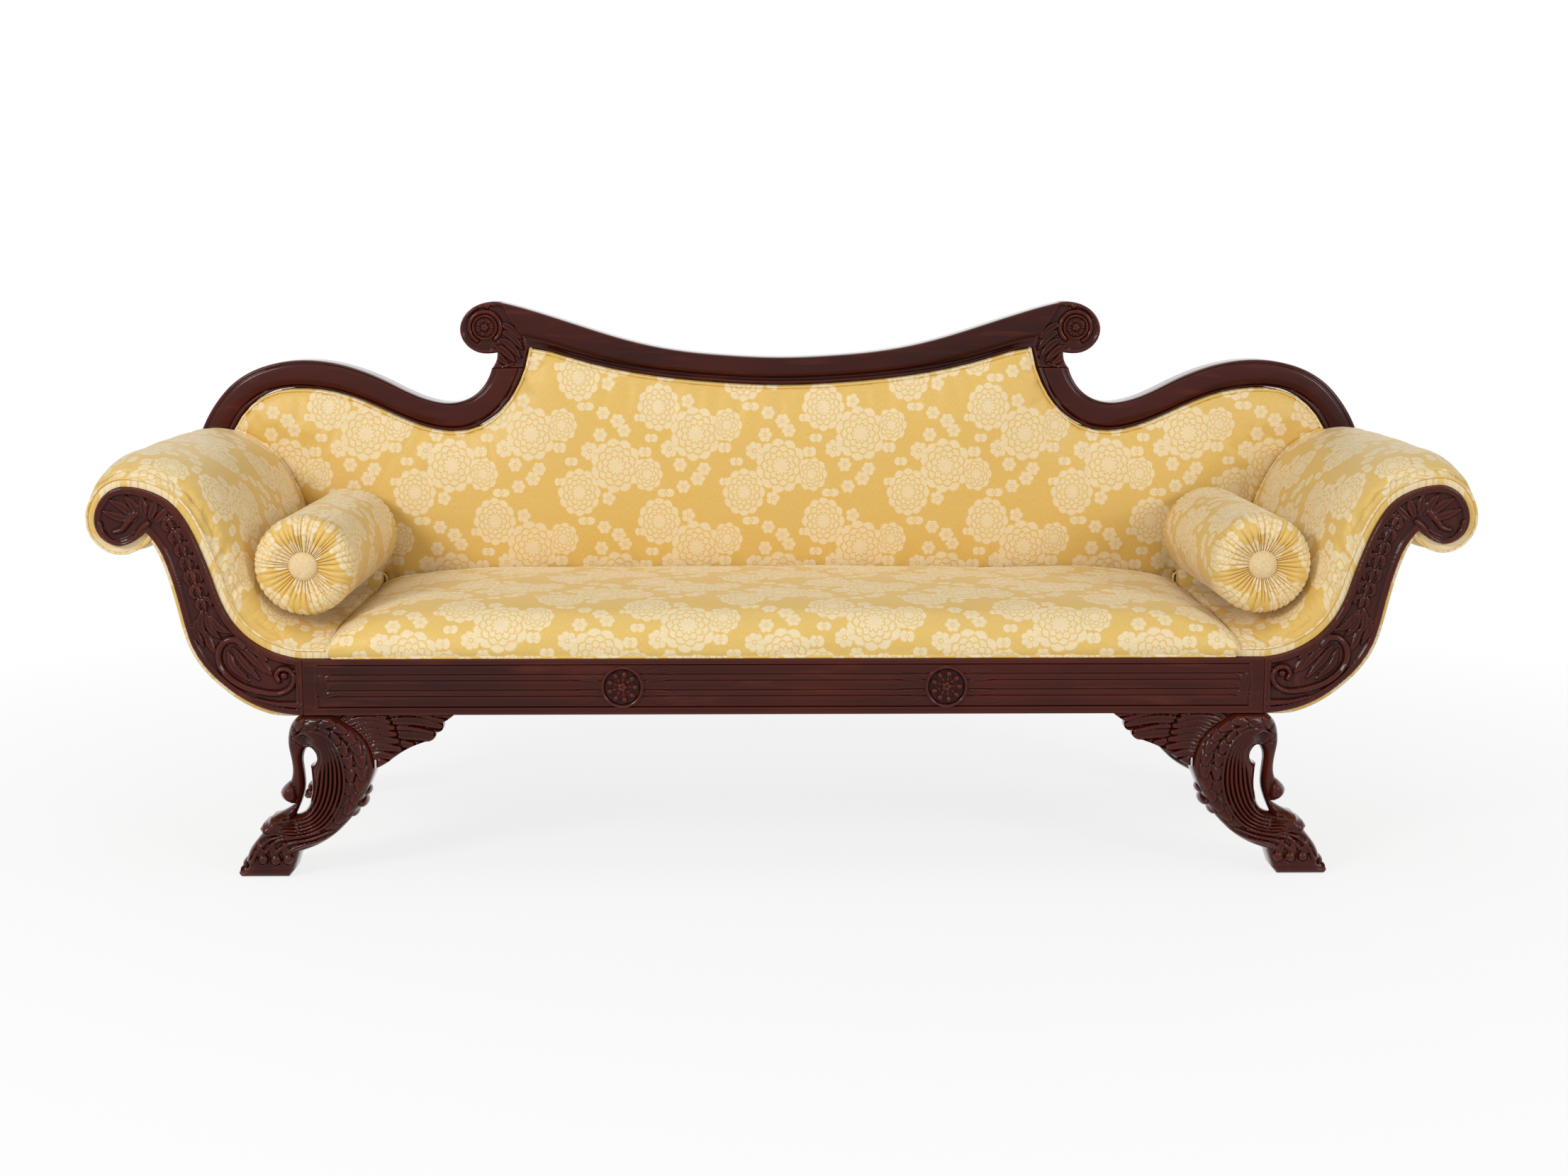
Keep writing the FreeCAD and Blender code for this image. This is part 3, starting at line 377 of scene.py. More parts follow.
# %% Damask, plain covers and linings
def damask(name):
    made, maker, shader = material(name, {
        "Roughness": 0.5, "Sheen Weight": 0.28, "Sheen Roughness": 0.4, "Sheen Tint": (1, 0.95, 0.85, 1),
        "Specular IOR Level": 0.42,
    })
    cloth = maker.add("ShaderNodeUVMap", {"uv_map": "cloth"})
    flat, figure = petal_figure(maker, cloth)
    wave = maker.noise(cloth, 14.0, 3.0)
    yarn = maker.noise(maker.stretch(cloth, (1.0, 0.16, 1.0)), 900.0, 2.0)
    weft = maker.noise(maker.stretch(cloth, (0.12, 1.0, 1.0)), 700.0, 2.0)
    ground = maker.mix(yarn.rise(0.25, 0.75), rgba(216, 176, 86), rgba(230, 194, 110))
    raised = maker.mix(weft.rise(0.25, 0.75), rgba(230, 207, 160), rgba(241, 222, 182))
    shade = maker.mix(figure, ground, raised)
    hollow = maker.add("ShaderNodeAttribute", {"attribute_name": "hollow"}, output="Fac")
    # Painted shade: the cloth turns a deeper gold in the hollows of its folds.
    shade = maker.mix(hollow.rise(0.0, 1.0) * 0.7, shade, rgba(196, 140, 52))
    shade = maker.mix(wave.rise(0.35, 0.75) * 0.12, shade, rgba(214, 190, 140))
    relief = figure * 0.8 + yarn * 0.25
    wire(maker, shader, Base_Color=shade, Roughness=0.42 + flat * 0.14 + weft * 0.1,
         Normal=maker.bump(relief, 0.0003, 0.5))
    return made


def woven(name, light, dark, threads, roughness=0.85):
    """A plain weave: warp and weft as crossed ribs on object coordinates."""
    made, maker, shader = material(name, {"Roughness": roughness, "Specular IOR Level": 0.25})
    where = maker.add("ShaderNodeTexCoord", output="Object")
    slub = maker.noise(where, threads * 0.4, 3.0)
    warp = maker.noise(maker.stretch(where, (1.0, 0.15, 0.15)), threads, 2.0)
    weft = maker.noise(maker.stretch(where, (0.15, 1.0, 1.0)), threads, 2.0)
    weave = (warp + weft) * 0.5
    wire(maker, shader, Base_Color=maker.mix((weave * 0.7 + slub * 0.3).rise(0.35, 0.65), dark, light),
         Roughness=weave * 0.2 + roughness - 0.1, Normal=maker.bump(weave, 0.0005, 0.6))
    return made


damask_cloth = damask("golden_damask")
webbing_cloth = woven("jute_webbing", rgba(178, 146, 100), rgba(126, 96, 58), 260.0)
hessian_cloth = woven("hessian", rgba(170, 138, 92), rgba(110, 84, 50), 420.0)
lining_cloth = woven("black_lining", rgba(34, 33, 33), rgba(12, 12, 12), 700.0)
steel, maker, shader = material("zinc_steel", {"Metallic": 1.0, "Roughness": 0.4})
where = maker.add("ShaderNodeTexCoord", output="Object")
spangle = maker.noise(maker.stretch(where, (1.0, 1.0, 8.0)), 160.0, 3.0)
wire(maker, shader, Base_Color=maker.mix(spangle, rgba(150, 150, 152), rgba(206, 206, 208)),
     Roughness=spangle * 0.3 + 0.28, Normal=maker.bump(spangle, 0.0002, 0.4))
print("cloths ready")

# %% [markdown]
# ## Meshes from grids, outlines and paths
# Most pieces here are one of two kinds. A stuffed or moulded piece is a grid of cross-sections. A carved
# board is its outline filled with fine triangles, whose front is lifted by a height formula.


# %% Small tools for points and meshes
def finish_mesh(name, verts, faces, finish, uv=None, sharp=50.0):
    """A mesh object with merged seams, outward faces and its finish."""
    mesh = bpy.data.meshes.new(name)
    mesh.from_pydata([tuple(v) for v in verts], [], [tuple(int(i) for i in f) for f in faces])
    if uv is not None:
        layer = mesh.uv_layers.new(name="cloth")
        at = np.zeros(len(mesh.loops), np.int32)
        mesh.loops.foreach_get("vertex_index", at)
        layer.data.foreach_set("uv", np.asarray(uv, np.float32)[at].ravel())
    work = bmesh.new()
    work.from_mesh(mesh)
    bmesh.ops.remove_doubles(work, verts=work.verts, dist=2e-6)
    bmesh.ops.recalc_face_normals(work, faces=work.faces)
    if work.calc_volume(signed=True) < 0:
        bmesh.ops.reverse_faces(work, faces=work.faces)
    work.to_mesh(mesh)
    work.free()
    mesh.materials.append(finish)
    mesh.shade_smooth()
    mesh.set_sharp_from_angle(angle=math.radians(sharp))
    made = bpy.data.objects.new(name, mesh)
    scene.collection.objects.link(made)
    return made


def settle(piece, body, slot, *replaced):
    """Says which body a piece rides on and which CAD nodes it stands for; the slot is not used."""
    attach(piece, body)
    if replaced:
        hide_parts(*replaced)
    print(piece.name, len(piece.data.polygons), "faces")
    return piece


def grid_faces(rows, cols):
    """Quads of a grid whose points are listed row by row."""
    a = np.arange(rows * cols).reshape(rows, cols)
    return np.stack([a[:-1, :-1], a[:-1, 1:], a[1:, 1:], a[1:, :-1]], -1).reshape(-1, 4)


def lengths(path):
    """How far along a path each of its points lies."""
    return np.concatenate([[0], np.cumsum(np.linalg.norm(np.diff(path, axis=0), axis=1))])


def resample(path, count):
    """Evenly spaced points on a path."""
    path = np.asarray(path, float)
    far = lengths(path)
    goal = np.linspace(0, far[-1], count)
    return np.stack([np.interp(goal, far, path[:, i]) for i in range(path.shape[1])], -1)


def smooth_path(spots, per=12):
    """A smooth line through given spots, with some points between each two."""
    p = np.asarray(spots, float)
    p = np.vstack([2 * p[0] - p[1], p, 2 * p[-1] - p[-2]])
    t = np.linspace(0, 1, per, endpoint=False)[:, None]
    runs = []
    for a, b, c, d in zip(p, p[1:], p[2:], p[3:]):
        runs.append(0.5 * (2 * b + (c - a) * t + (2 * a - 5 * b + 4 * c - d) * t ** 2
                           + (3 * b - a - 3 * c + d) * t ** 3))
    return np.vstack([*runs, p[-2]])


def side_normals(path):
    """Unit normals on the left of a path of 2-D points."""
    step = np.gradient(path, axis=0)
    step /= np.linalg.norm(step, axis=1)[:, None] + 1e-12
    return np.stack([-step[:, 1], step[:, 0]], -1)


def plane_loops(node, y, least=0.10):
    """The closed outlines of a CAD node's flat face at depth y, longest first, as X and Z."""
    work = bmesh.new()
    work.from_mesh(nodes[node].data)
    bmesh.ops.remove_doubles(work, verts=work.verts, dist=2e-5)
    flat = [f for f in work.faces if all(abs(v.co.y - y) < 4e-5 for v in f.verts)]
    kept = set(flat)
    edges = [e for f in flat for e in f.edges if sum(g in kept for g in e.link_faces) == 1]
    after = {}
    for e in edges:
        after.setdefault(e.verts[0].index, []).append(e.verts[1].index)
        after.setdefault(e.verts[1].index, []).append(e.verts[0].index)
    place = {v.index: (v.co.x, v.co.z) for f in flat for v in f.verts}
    work.free()
    loops = []
    while after:
        start = here = next(iter(after))
        path = [start]
        while after.get(here):
            step = after[here].pop()
            after[step].remove(here)
            if step == start:
                break
            path.append(step)
            here = step
        after = {k: v for k, v in after.items() if v}
        spots = np.array([place[i] for i in path])
        if lengths(np.vstack([spots, spots[:1]]))[-1] > least:
            loops.append(spots)
    return sorted(loops, key=lambda s: -lengths(s)[-1])


def segment_gap(spots, path):
    """Each spot's distance to a path, and how far along it the nearest point lies, from 0 to 1."""
    path = np.asarray(path, float)
    far = lengths(path)
    best = np.full(len(spots), 1e9)
    share = np.zeros(len(spots))
    for a, b, start, size in zip(path, path[1:], far, np.diff(far)):
        if size < 1e-12:
            continue
        t = np.clip(((spots - a) @ (b - a)) / size ** 2, 0, 1)
        gap = np.linalg.norm(spots - a - t[:, None] * (b - a), axis=1)
        closer = gap < best
        best[closer] = gap[closer]
        share[closer] = (start + t[closer] * size) / far[-1]
    return best, share


def inside(spots, loops):
    """True where a spot is inside an odd number of closed outlines."""
    found = np.zeros(len(spots), bool)
    for loop in loops:
        for a, b in zip(loop, np.roll(loop, -1, axis=0)):
            if a[1] == b[1]:
                continue
            crosses = (a[1] > spots[:, 1]) != (b[1] > spots[:, 1])
            x = a[0] + (spots[:, 1] - a[1]) * (b[0] - a[0]) / (b[1] - a[1])
            found ^= crosses & (spots[:, 0] < x)
    return found


def mirrored(verts):
    return np.asarray(verts) * np.array([-1, 1, 1])


print("mesh tools ready")

# %% [markdown]
# ## Carving as strokes
# A carver works with a few kinds of cut: a long round roll, a leaf that swells and closes, a feather that
# lies over the next one, and a bead. Each is a height formula round a path, so a whole board is a list of
# strokes. Paths are in millimetres as seen from the front, X then Z, on the left-hand piece. The right one
# is mirrored.


# %% A carver's strokes
class Carving:
    """Heights, in metres, over the spots of a board's face."""

    def __init__(self, spots, gap):
        self.spots = spots
        self.gap = gap
        self.height = np.zeros(len(spots))
        self.sunk = np.zeros(len(spots))

    def near(self, path, width):
        """The spots about a path, with their distance to it and their place along it."""
        path = np.asarray(path, float) * MM
        if len(path) > 2:
            path = smooth_path(path, 8)
        reach = width * MM
        close = ((self.spots > path.min(0) - reach) & (self.spots < path.max(0) + reach)).all(1)
        at = np.nonzero(close)[0]
        gap, share = segment_gap(self.spots[at], path)
        return at, gap / MM, share

    def lay(self, at, lift, over, floor):
        """Lays a form of some height on the board, over what is there already."""
        raised = floor + lift
        taller = over & (raised * MM > self.height[at])
        self.height[at[taller]] = raised[taller] * MM

    def line(self, at, gap, edge, depth, breadth):
        """Sinks a fine line beside a stroke's edge."""
        self.height[at] -= depth * MM * np.exp(-((gap - edge) / breadth) ** 2)

    def roll(self, path, width, height, floor=0.0, taper=(1.0, 1.0), line=0.5):
        at, gap, share = self.near(path, width)
        half = width / 2 * (taper[0] + (taper[1] - taper[0]) * share)
        self.lay(at, height * np.sqrt(np.clip(1 - (gap / half) ** 2, 0, 1)), gap < half, floor)
        self.line(at, gap, half + 0.6, line, 0.7)

    def leaf(self, path, width, height, floor=0.0, vein=0.35, line=0.5):
        at, gap, share = self.near(path, width)
        half = width / 2 * (np.sin(np.pi * np.clip(share, 0.03, 1) ** 0.8 * 0.97) ** 0.75 + 0.06)
        dome = np.sqrt(np.clip(1 - (gap / half) ** 2, 0, 1)) * (0.65 + 0.35 * share)
        dome -= vein * np.exp(-(gap / (0.13 * width)) ** 2)
        self.lay(at, height * dome, gap < half, floor)
        self.line(at, gap, half + 0.5, line, 0.6)

    def feather(self, path, width, height, floor=0.0, rib=0.4, line=0.7):
        """Low at its root and high at its round end, so that it seems to lie over the next one."""
        at, gap, share = self.near(path, width)
        half = width / 2 * (0.62 + 0.38 * np.sin(np.pi * share))
        body = (0.2 + 0.8 * share) * np.clip(1 - (gap / half) ** 4, 0, 1) ** 0.5
        body -= rib * np.exp(-(gap / (0.07 * width)) ** 2) * np.clip(1.15 - share, 0, 1)
        self.lay(at, height * body, gap < half, floor)
        self.line(at, gap, half + 0.6, line, 0.9)

    def bead(self, x, z, radius, height, floor=0.0, line=0.6):
        self.roll([(x - 0.05, z), (x + 0.05, z)], 2 * radius, height, floor, line=line)

    def border(self, loops, width, height, sink, slope=2.0):
        """A roll that follows the board's own edges, and a sunk field inside it."""
        gap = np.full(len(self.spots), 1e9)
        for path in loops:
            gap = np.minimum(gap, segment_gap(self.spots, path)[0] / MM)
        across = np.clip((gap - width / 2) / (width / 2), -1, 1)
        roll = height * np.sqrt(1 - across ** 2)
        field = np.clip((gap - width) / slope, 0, 1)
        self.height += (np.where(gap < width, roll, 0) - sink * field) * MM
        self.height -= 0.6 * MM * np.exp(-((gap - width - 0.6) / 0.8) ** 2)


def even_loop(loop, step):
    """A closed outline with its corners kept and long stretches divided into even steps."""
    spots = []
    for a, b in zip(loop, np.roll(loop, -1, axis=0)):
        count = max(1, round(np.linalg.norm(b - a) / step))
        spots += [a + (b - a) * i / count for i in range(count)]
    return np.array(spots)


def fill_outline(loops, step, inner=True):
    """Triangles that fill closed outlines; with inner, even spots inside them too."""
    outline = [even_loop(loop, step) for loop in loops]
    edges = []
    start = 0
    for loop in outline:
        size = len(loop)
        edges += [(start + i, start + (i + 1) % size) for i in range(size)]
        start += size
    spots = np.vstack(outline)
    if inner:
        low, high = spots.min(0), spots.max(0)
        rows = np.arange(low[1], high[1], step * math.sqrt(3) / 2)
        grid = []
        for i, z in enumerate(rows):
            along = np.arange(low[0] + (i % 2) * step / 2, high[0], step)
            grid.append(np.stack([along, np.full(len(along), z)], -1))
        grid = np.vstack(grid)
        grid = grid[inside(grid, outline)]
        spots = np.vstack([spots, grid[edge_gap(grid, outline) > 0.55 * step]])
    made = delaunay_2d_cdt([Vector(p) for p in spots], edges, [], 0, 1e-9)
    points = np.array([tuple(v) for v in made[0]])
    faces = np.array([f for f in made[2] if len(f) == 3])
    faces = faces[inside(points[faces].mean(1), outline)]
    return points, faces, outline


def edge_gap(spots, loops):
    """Each spot's distance to the nearest of some closed outlines."""
    gap = np.full(len(spots), 1e9)
    for loop in loops:
        gap = np.minimum(gap, segment_gap(spots, np.vstack([loop, loop[:1]]))[0])
    return gap


def relief(loops, carve, front, back, step, rounding, both=False):
    """A carved board from its outlines: its points and triangles, front at -Y, edges rounded over."""

    def faced(points):
        gap = edge_gap(points, loops)
        gap[gap < 2e-6] = 0
        work = Carving(points, gap)
        carve(work)
        near = np.clip(1 - gap / rounding, 0, 1)
        drop = rounding * (1 - np.sqrt(1 - near ** 2)) + work.sunk
        return work.height * np.clip(gap / rounding * 2, 0, 1), drop

    points, faces, outline = fill_outline(loops, step)
    lift, drop = faced(points)
    verts = [np.stack([points[:, 0], front - lift + drop, points[:, 1]], -1)]
    tris = [faces]
    if both:
        verts.append(np.stack([points[:, 0], back + lift - drop, points[:, 1]], -1))
        tris.append(faces + len(points))
    else:
        flat, flat_faces, _ = fill_outline(loops, step, inner=False)
        verts.append(np.stack([flat[:, 0], np.full(len(flat), back), flat[:, 1]], -1))
        tris.append(flat_faces + len(points))
    count = len(points) + len(verts[1])
    for loop in outline:
        size = len(loop)
        rim = faced(loop)[1]
        near = np.stack([loop[:, 0], front + rim, loop[:, 1]], -1)
        far = np.stack([loop[:, 0], back - rim * both, loop[:, 1]], -1)
        verts += [near, far]
        i = np.arange(size)
        j = (i + 1) % size
        tris.append(np.stack([count + i, count + j, count + size + j], -1))
        tris.append(np.stack([count + i, count + size + j, count + size + i], -1))
        count += 2 * size
    return np.vstack(verts), np.vstack(tris)


# From this attribute the mahogany paints shade into hollows and a highlight onto high spots, and the damask
# paints shade into its folds.
def store_hollowness(piece, depth, rounds=3):
    """Writes how hollow each point lies: how far its neighbourhood stands out beyond it."""
    mesh = piece.data
    count = len(mesh.vertices)
    place = np.zeros(count * 3)
    mesh.vertices.foreach_get("co", place)
    place = place.reshape(-1, 3)
    normal = np.zeros(count * 3)
    mesh.vertices.foreach_get("normal", normal)
    edges = np.zeros(len(mesh.edges) * 2, np.int32)
    mesh.edges.foreach_get("vertices", edges)
    edges = edges.reshape(-1, 2)
    degree = np.maximum(np.bincount(edges.ravel(), minlength=count), 1)[:, None]
    mean = place.copy()
    for _ in range(rounds):
        total = np.zeros_like(mean)
        for axis in range(3):
            total[:, axis] += np.bincount(edges[:, 0], mean[edges[:, 1], axis], count)
            total[:, axis] += np.bincount(edges[:, 1], mean[edges[:, 0], axis], count)
        mean = total / degree
    deep = ((mean - place) * normal.reshape(-1, 3)).sum(1) / (depth * MM)
    layer = mesh.attributes.new("hollow", "FLOAT", "POINT")
    layer.data.foreach_set("value", np.clip(deep, -1, 1).astype(np.float32))


def carved_pair(name, verts, faces, finish, replaced, depth=0.5, sharp=50.0, slot="wood"):
    """The left-hand carving and its mirror image, each in place of its own CAD node."""
    for side in ("left", "right"):
        points = verts if side == "left" else mirrored(verts)
        piece = finish_mesh(f"{name}_{side}", points, faces, finish, sharp=sharp)
        store_hollowness(piece, depth)
        settle(piece, "frame", slot, f"{replaced}_{side}")


print("carving tools ready")

# %% [markdown]
# ## Arm scrolls
# Each arm ends in an S-shaped board. A roll follows both its edges and the field between them is sunk, with
# carving laid in it: a palmette in the volute, a chain of bellflowers down the neck, a spray of leaves and
# a large C-scroll where the board meets the rail. The outline is read from the CAD node, so it fits.

# %% Strokes of the arm scroll
ARM_ROLL, FIELD_SINK = 10.0, 2.8  # the roll's width round the board, and how deep its field lies
VOLUTE_ROLL = [(-1124, 602), (-1119, 585), (-1104, 571), (-1086, 568), (-1068, 577), (-1056, 593),
               (-1045, 602)]
HUSKS = [(-1014, 612), (-1003, 592), (-993, 571), (-985, 549), (-978, 526), (-971, 502), (-963, 479),
         (-956, 459)]
VOLUTE_LEAVES = [
    [(-1066, 606), (-1092, 612), (-1118, 622)], [(-1064, 610), (-1084, 628), (-1106, 640)],
    [(-1058, 613), (-1068, 632), (-1080, 646)], [(-1050, 613), (-1052, 630), (-1054, 646)],
    [(-1042, 610), (-1036, 624), (-1030, 640)], [(-1034, 604), (-1022, 615), (-1012, 628)],
]
C_SCROLL = [(-897, 396), (-907, 407), (-924, 406), (-936, 392), (-938, 372), (-927, 350), (-903, 331),
            (-872, 320), (-842, 317), (-822, 326), (-815, 343), (-822, 356), (-836, 358), (-844, 349),
            (-840, 339)]
C_LEAVES = [
    [(-898, 402), (-880, 392), (-858, 372)], [(-906, 398), (-886, 380), (-862, 352)],
    [(-914, 394), (-898, 370), (-872, 340)], [(-922, 388), (-914, 362), (-888, 338)],
    [(-872, 378), (-862, 362), (-850, 348)],
]
STEM_LEAVES = [
    [(-962, 456), (-966, 434), (-958, 412)], [(-956, 452), (-950, 428), (-934, 410)],
    [(-966, 446), (-974, 424), (-962, 396)], [(-948, 446), (-936, 428), (-918, 420)],
    [(-958, 420), (-952, 402), (-942, 384)],
]


def carve_arm_scroll(work):
    rim = arm_outline[np.abs(arm_outline[:, 0] + RAIL_END) > 1e-3]
    work.border([rim], ARM_ROLL, 0.8, FIELD_SINK)
    floor = -FIELD_SINK
    work.roll(VOLUTE_ROLL, 13, 6.0, floor, (0.7, 0.8))
    work.roll([(-1101, 588), (-1088, 592), (-1078, 604), (-1066, 618)], 13, 5.5, floor, (0.6, 1.0))
    for path in VOLUTE_LEAVES:
        work.leaf(path, 14, 4.2, floor)
    for path in STEM_LEAVES:
        work.leaf(path, 13, 4.5, floor)
    for here, after in zip(HUSKS, HUSKS[1:]):
        down = np.array(after) - np.array(here)
        across = np.array([-down[1], down[0]]) * 0.42
        for side in (-1, 1, 0):
            tip = np.array(here) + down * (1.0 + 0.12 * (side == 0)) + across * side
            bend = np.array(here) + down * 0.45 + across * side * 1.25
            work.leaf([here, bend, tip], 8.5, 3.8 + (side == 0), floor, 0.2, 0.4)
        work.bead(here[0], here[1], 3.0, 4.8, floor)
    for path in C_LEAVES:
        work.leaf(path, 13, 4.4, floor)
    work.roll(C_SCROLL, 13, 6.2, floor, (0.9, 0.65), 0.9)
    work.roll(C_SCROLL[2:10], 4, 7.0, floor, (0.6, 0.6), 0.2)
    work.bead(-831, 347, 6.5, 5.5, floor)
    work.roll([(-878, 308), (-846, 300), (-806, 297)], 11, 3.6, -1.4, (0.4, 1.0))


RAIL_END = -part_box("front_seat_rail")[0][0]
FACE_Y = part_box("arm_scroll_front_left")[0][1]
SCROLL_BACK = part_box("arm_scroll_front_left")[1][1]
arm_loops = plane_loops("arm_scroll_front_left", FACE_Y)
arm_outline = even_loop(arm_loops[0], 2.0 * MM)
verts, faces = relief(arm_loops[:1], carve_arm_scroll, FACE_Y, SCROLL_BACK, 1.7 * MM, 2.5 * MM)
carved_pair("arm_scroll_carved", verts, faces, carved_wood, "arm_scroll_front", 0.45)

# %% [markdown]
# ## Front rail
# The long rail is reeded: a raised border frames five gently rounded bands that stop at plain blocks. Where
# a band meets a rosette it ends in a small pointed leaf. The mesh is a grid with fine rows across the
# mouldings and close columns only where something ends, so the long plain stretches stay light.

# %% Reeded seat rail
BAND_EDGES = [364.5, 348.0, 337.5, 321.5, 311.0, 292.5]
PANEL_HALF = 777.0
ROSETTE_X = 270.0
RAIL_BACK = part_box("front_seat_rail")[1][1]


def near_columns():
    """Columns along the left half: fine at the end block and about the rosette, wide elsewhere."""
    fine_end = np.arange(-800, -716, 2.0)
    reach = ROSETTE_X + 96
    wide_one = np.linspace(-716, -reach, 22)
    fine_rosette = np.arange(-reach + 2.5, -ROSETTE_X + 96, 2.5)
    wide_two = np.linspace(-ROSETTE_X + 98, 0, 12)
    return np.concatenate([fine_end, wide_one, fine_rosette, wide_two])


def carve_rail(work):
    x = np.abs(work.spots[:, 0]) / MM
    z = work.spots[:, 1] / MM
    panel = np.clip((PANEL_HALF - x) / 1.6, 0, 1)
    for top, low in zip(BAND_EDGES, BAND_EDGES[1:]):
        across = (z - (top + low) / 2) / ((top - low) / 2)
        band = np.abs(across) <= 1
        swell = 1.0 + 0.09 * (top - low)
        height = -3.0 + swell * np.sqrt(np.clip(1 - across ** 2, 0, 1))
        work.height[band] = (height * panel)[band] * MM
    border = (z > BAND_EDGES[0]) | (z < BAND_EDGES[-1])
    edge = np.minimum(np.abs(z - 374), np.abs(z - 280))
    work.height[border] = -1.2 * MM * np.clip(1 - edge[border] / 2.2, 0, 1) ** 2
    for side in (-1, 1):
        for z0, lift in ((356, -3), (342.5, -8), (316.5, 4), (301, 6)):
            tip = -ROSETTE_X + side * 37
            root = -ROSETTE_X + side * 88
            path = [(root, z0), (tip + side * 22, z0 + lift * 0.2), (tip, z0 + lift)]
            work.leaf(path, 9, 2.4, -2.4, 0.5, 0.7)
    for path in RAIL_SPRIG:
        work.leaf(path, 9.5, 3.0, -2.6, 0.4, 0.8)


RAIL_SPRIG = [
    [(-774, 297), (-764, 305), (-742, 304)], [(-774, 300), (-762, 313), (-736, 317)],
    [(-774, 304), (-764, 324), (-744, 334)], [(-774, 308), (-768, 332), (-756, 348)],
    [(-774, 312), (-772, 336), (-770, 356)],
]
columns = near_columns() * MM
columns = np.concatenate([columns, -columns[-2::-1]])
rows = np.unique(np.concatenate([np.arange(280, 374.1, 1.5), [374.0], BAND_EDGES])) * MM
grid_x, grid_z = np.meshgrid(columns, rows)
spots = np.stack([-np.abs(grid_x).ravel(), grid_z.ravel()], -1)
work = Carving(spots, np.zeros(len(spots)))
carve_rail(work)
front = np.stack([grid_x.ravel(), FACE_Y - work.height, grid_z.ravel()], -1)
shape = grid_x.shape
front = front.reshape(*shape, 3)
top_back = front[-1].copy()
top_back[:, 1] = RAIL_BACK
low_back = front[0].copy()
low_back[:, 1] = RAIL_BACK
rings = np.concatenate([front, top_back[None], low_back[None], front[:1]])
faces = grid_faces(*rings.shape[:2])
verts = rings.reshape(-1, 3)
caps = []
for column in (0, shape[1] - 1):
    ring = np.arange(rings.shape[0] - 1) * shape[1] + column
    caps.append([int(i) for i in ring])
rail = finish_mesh("front_rail_reeded", verts, list(map(tuple, faces)) + caps, rail_wood)
store_hollowness(rail, 0.4, 4)
settle(rail, "frame", "wood", "front_seat_rail")

# %% [markdown]
# ## Rosettes
# A rosette is turned first and then carved: a rim, a dish, and beads in the dish round a lobed boss. Beads
# in a ring are copies of one bead, so Geometry Nodes places them: one tree, used with other numbers.


# %% A ring of beads as a node tree
def bead_ring_tree():
    tree = bpy.data.node_groups.new("bead_ring", "GeometryNodeTree")
    face = tree.interface
    face.new_socket("Geometry", in_out="INPUT", socket_type="NodeSocketGeometry")
    kinds = {"Count": "NodeSocketInt", "Ring Radius": "NodeSocketFloat", "Bead Size": "NodeSocketVector",
             "Centre": "NodeSocketVector", "Finish": "NodeSocketMaterial"}
    for label, kind in kinds.items():
        face.new_socket(label, in_out="INPUT", socket_type=kind)
    face.new_socket("Geometry", in_out="OUTPUT", socket_type="NodeSocketGeometry")
    maker = Maker(tree)
    given = {name: Value(maker, socket) for name, socket in tree.nodes.new("NodeGroupInput").outputs.items()
             if name}
    ring = maker.add("GeometryNodeMeshCircle", {}, {
        "Vertices": given["Count"], "Radius": given["Ring Radius"]})
    bead = maker.add("GeometryNodeMeshUVSphere", {}, {"Segments": 14, "Rings": 9, "Radius": 1.0})
    bead = maker.add("GeometryNodeSetShadeSmooth", {}, {"Geometry": bead})
    where = maker.add("GeometryNodeInputPosition")
    turn = maker.add("FunctionNodeAlignRotationToVector", {"axis": "X"}, {"Vector": where})
    beads = maker.add("GeometryNodeInstanceOnPoints", {}, {
        "Points": ring, "Instance": bead, "Rotation": turn, "Scale": given["Bead Size"]})
    upright = maker.add("GeometryNodeTransform", {}, {
        "Geometry": beads, "Translation": given["Centre"], "Rotation": (math.pi / 2, 0, 0)})
    real = maker.add("GeometryNodeRealizeInstances", {}, {"Geometry": upright})
    joined = maker.add("GeometryNodeJoinGeometry")
    join = joined.socket.node
    tree.links.new(real.socket, join.inputs[0])
    tree.links.new(given["Geometry"].socket, join.inputs[0])
    done = maker.add("GeometryNodeSetMaterial", {}, {"Geometry": joined, "Material": given["Finish"]})
    maker.add("NodeGroupOutput", {}, {0: done})
    return tree


def grow(piece, tree, **inputs):
    """Runs a node tree on a piece and keeps the result as its plain mesh; underscores stand for spaces."""
    modifier = piece.modifiers.new("grow", "NODES")
    modifier.node_group = tree
    for item in tree.interface.items_tree:
        if item.in_out == "INPUT" and item.name.replace(" ", "_") in inputs:
            modifier[item.identifier] = inputs[item.name.replace(" ", "_")]
    seen = piece.evaluated_get(bpy.context.evaluated_depsgraph_get())
    mesh = bpy.data.meshes.new_from_object(seen)
    piece.modifiers.remove(modifier)
    piece.data = mesh


bead_ring = bead_ring_tree()
print("bead ring tree with", len(bead_ring.nodes), "nodes")


# %% Turned and beaded rosettes
def turned(profile, centre, steps=72):
    """A turned form with its axis along Y: the profile gives radius and depth, front first."""
    angle = np.linspace(0, 2 * np.pi, steps + 1)
    rings = []
    for radius, depth in profile:
        x = centre[0] + radius * MM * np.sin(angle)
        z = centre[2] + radius * MM * np.cos(angle)
        rings.append(np.stack([x, np.full(steps + 1, centre[1] + depth * MM), z], -1))
    rings = np.array(rings)
    return rings.reshape(-1, 3), grid_faces(*rings.shape[:2])


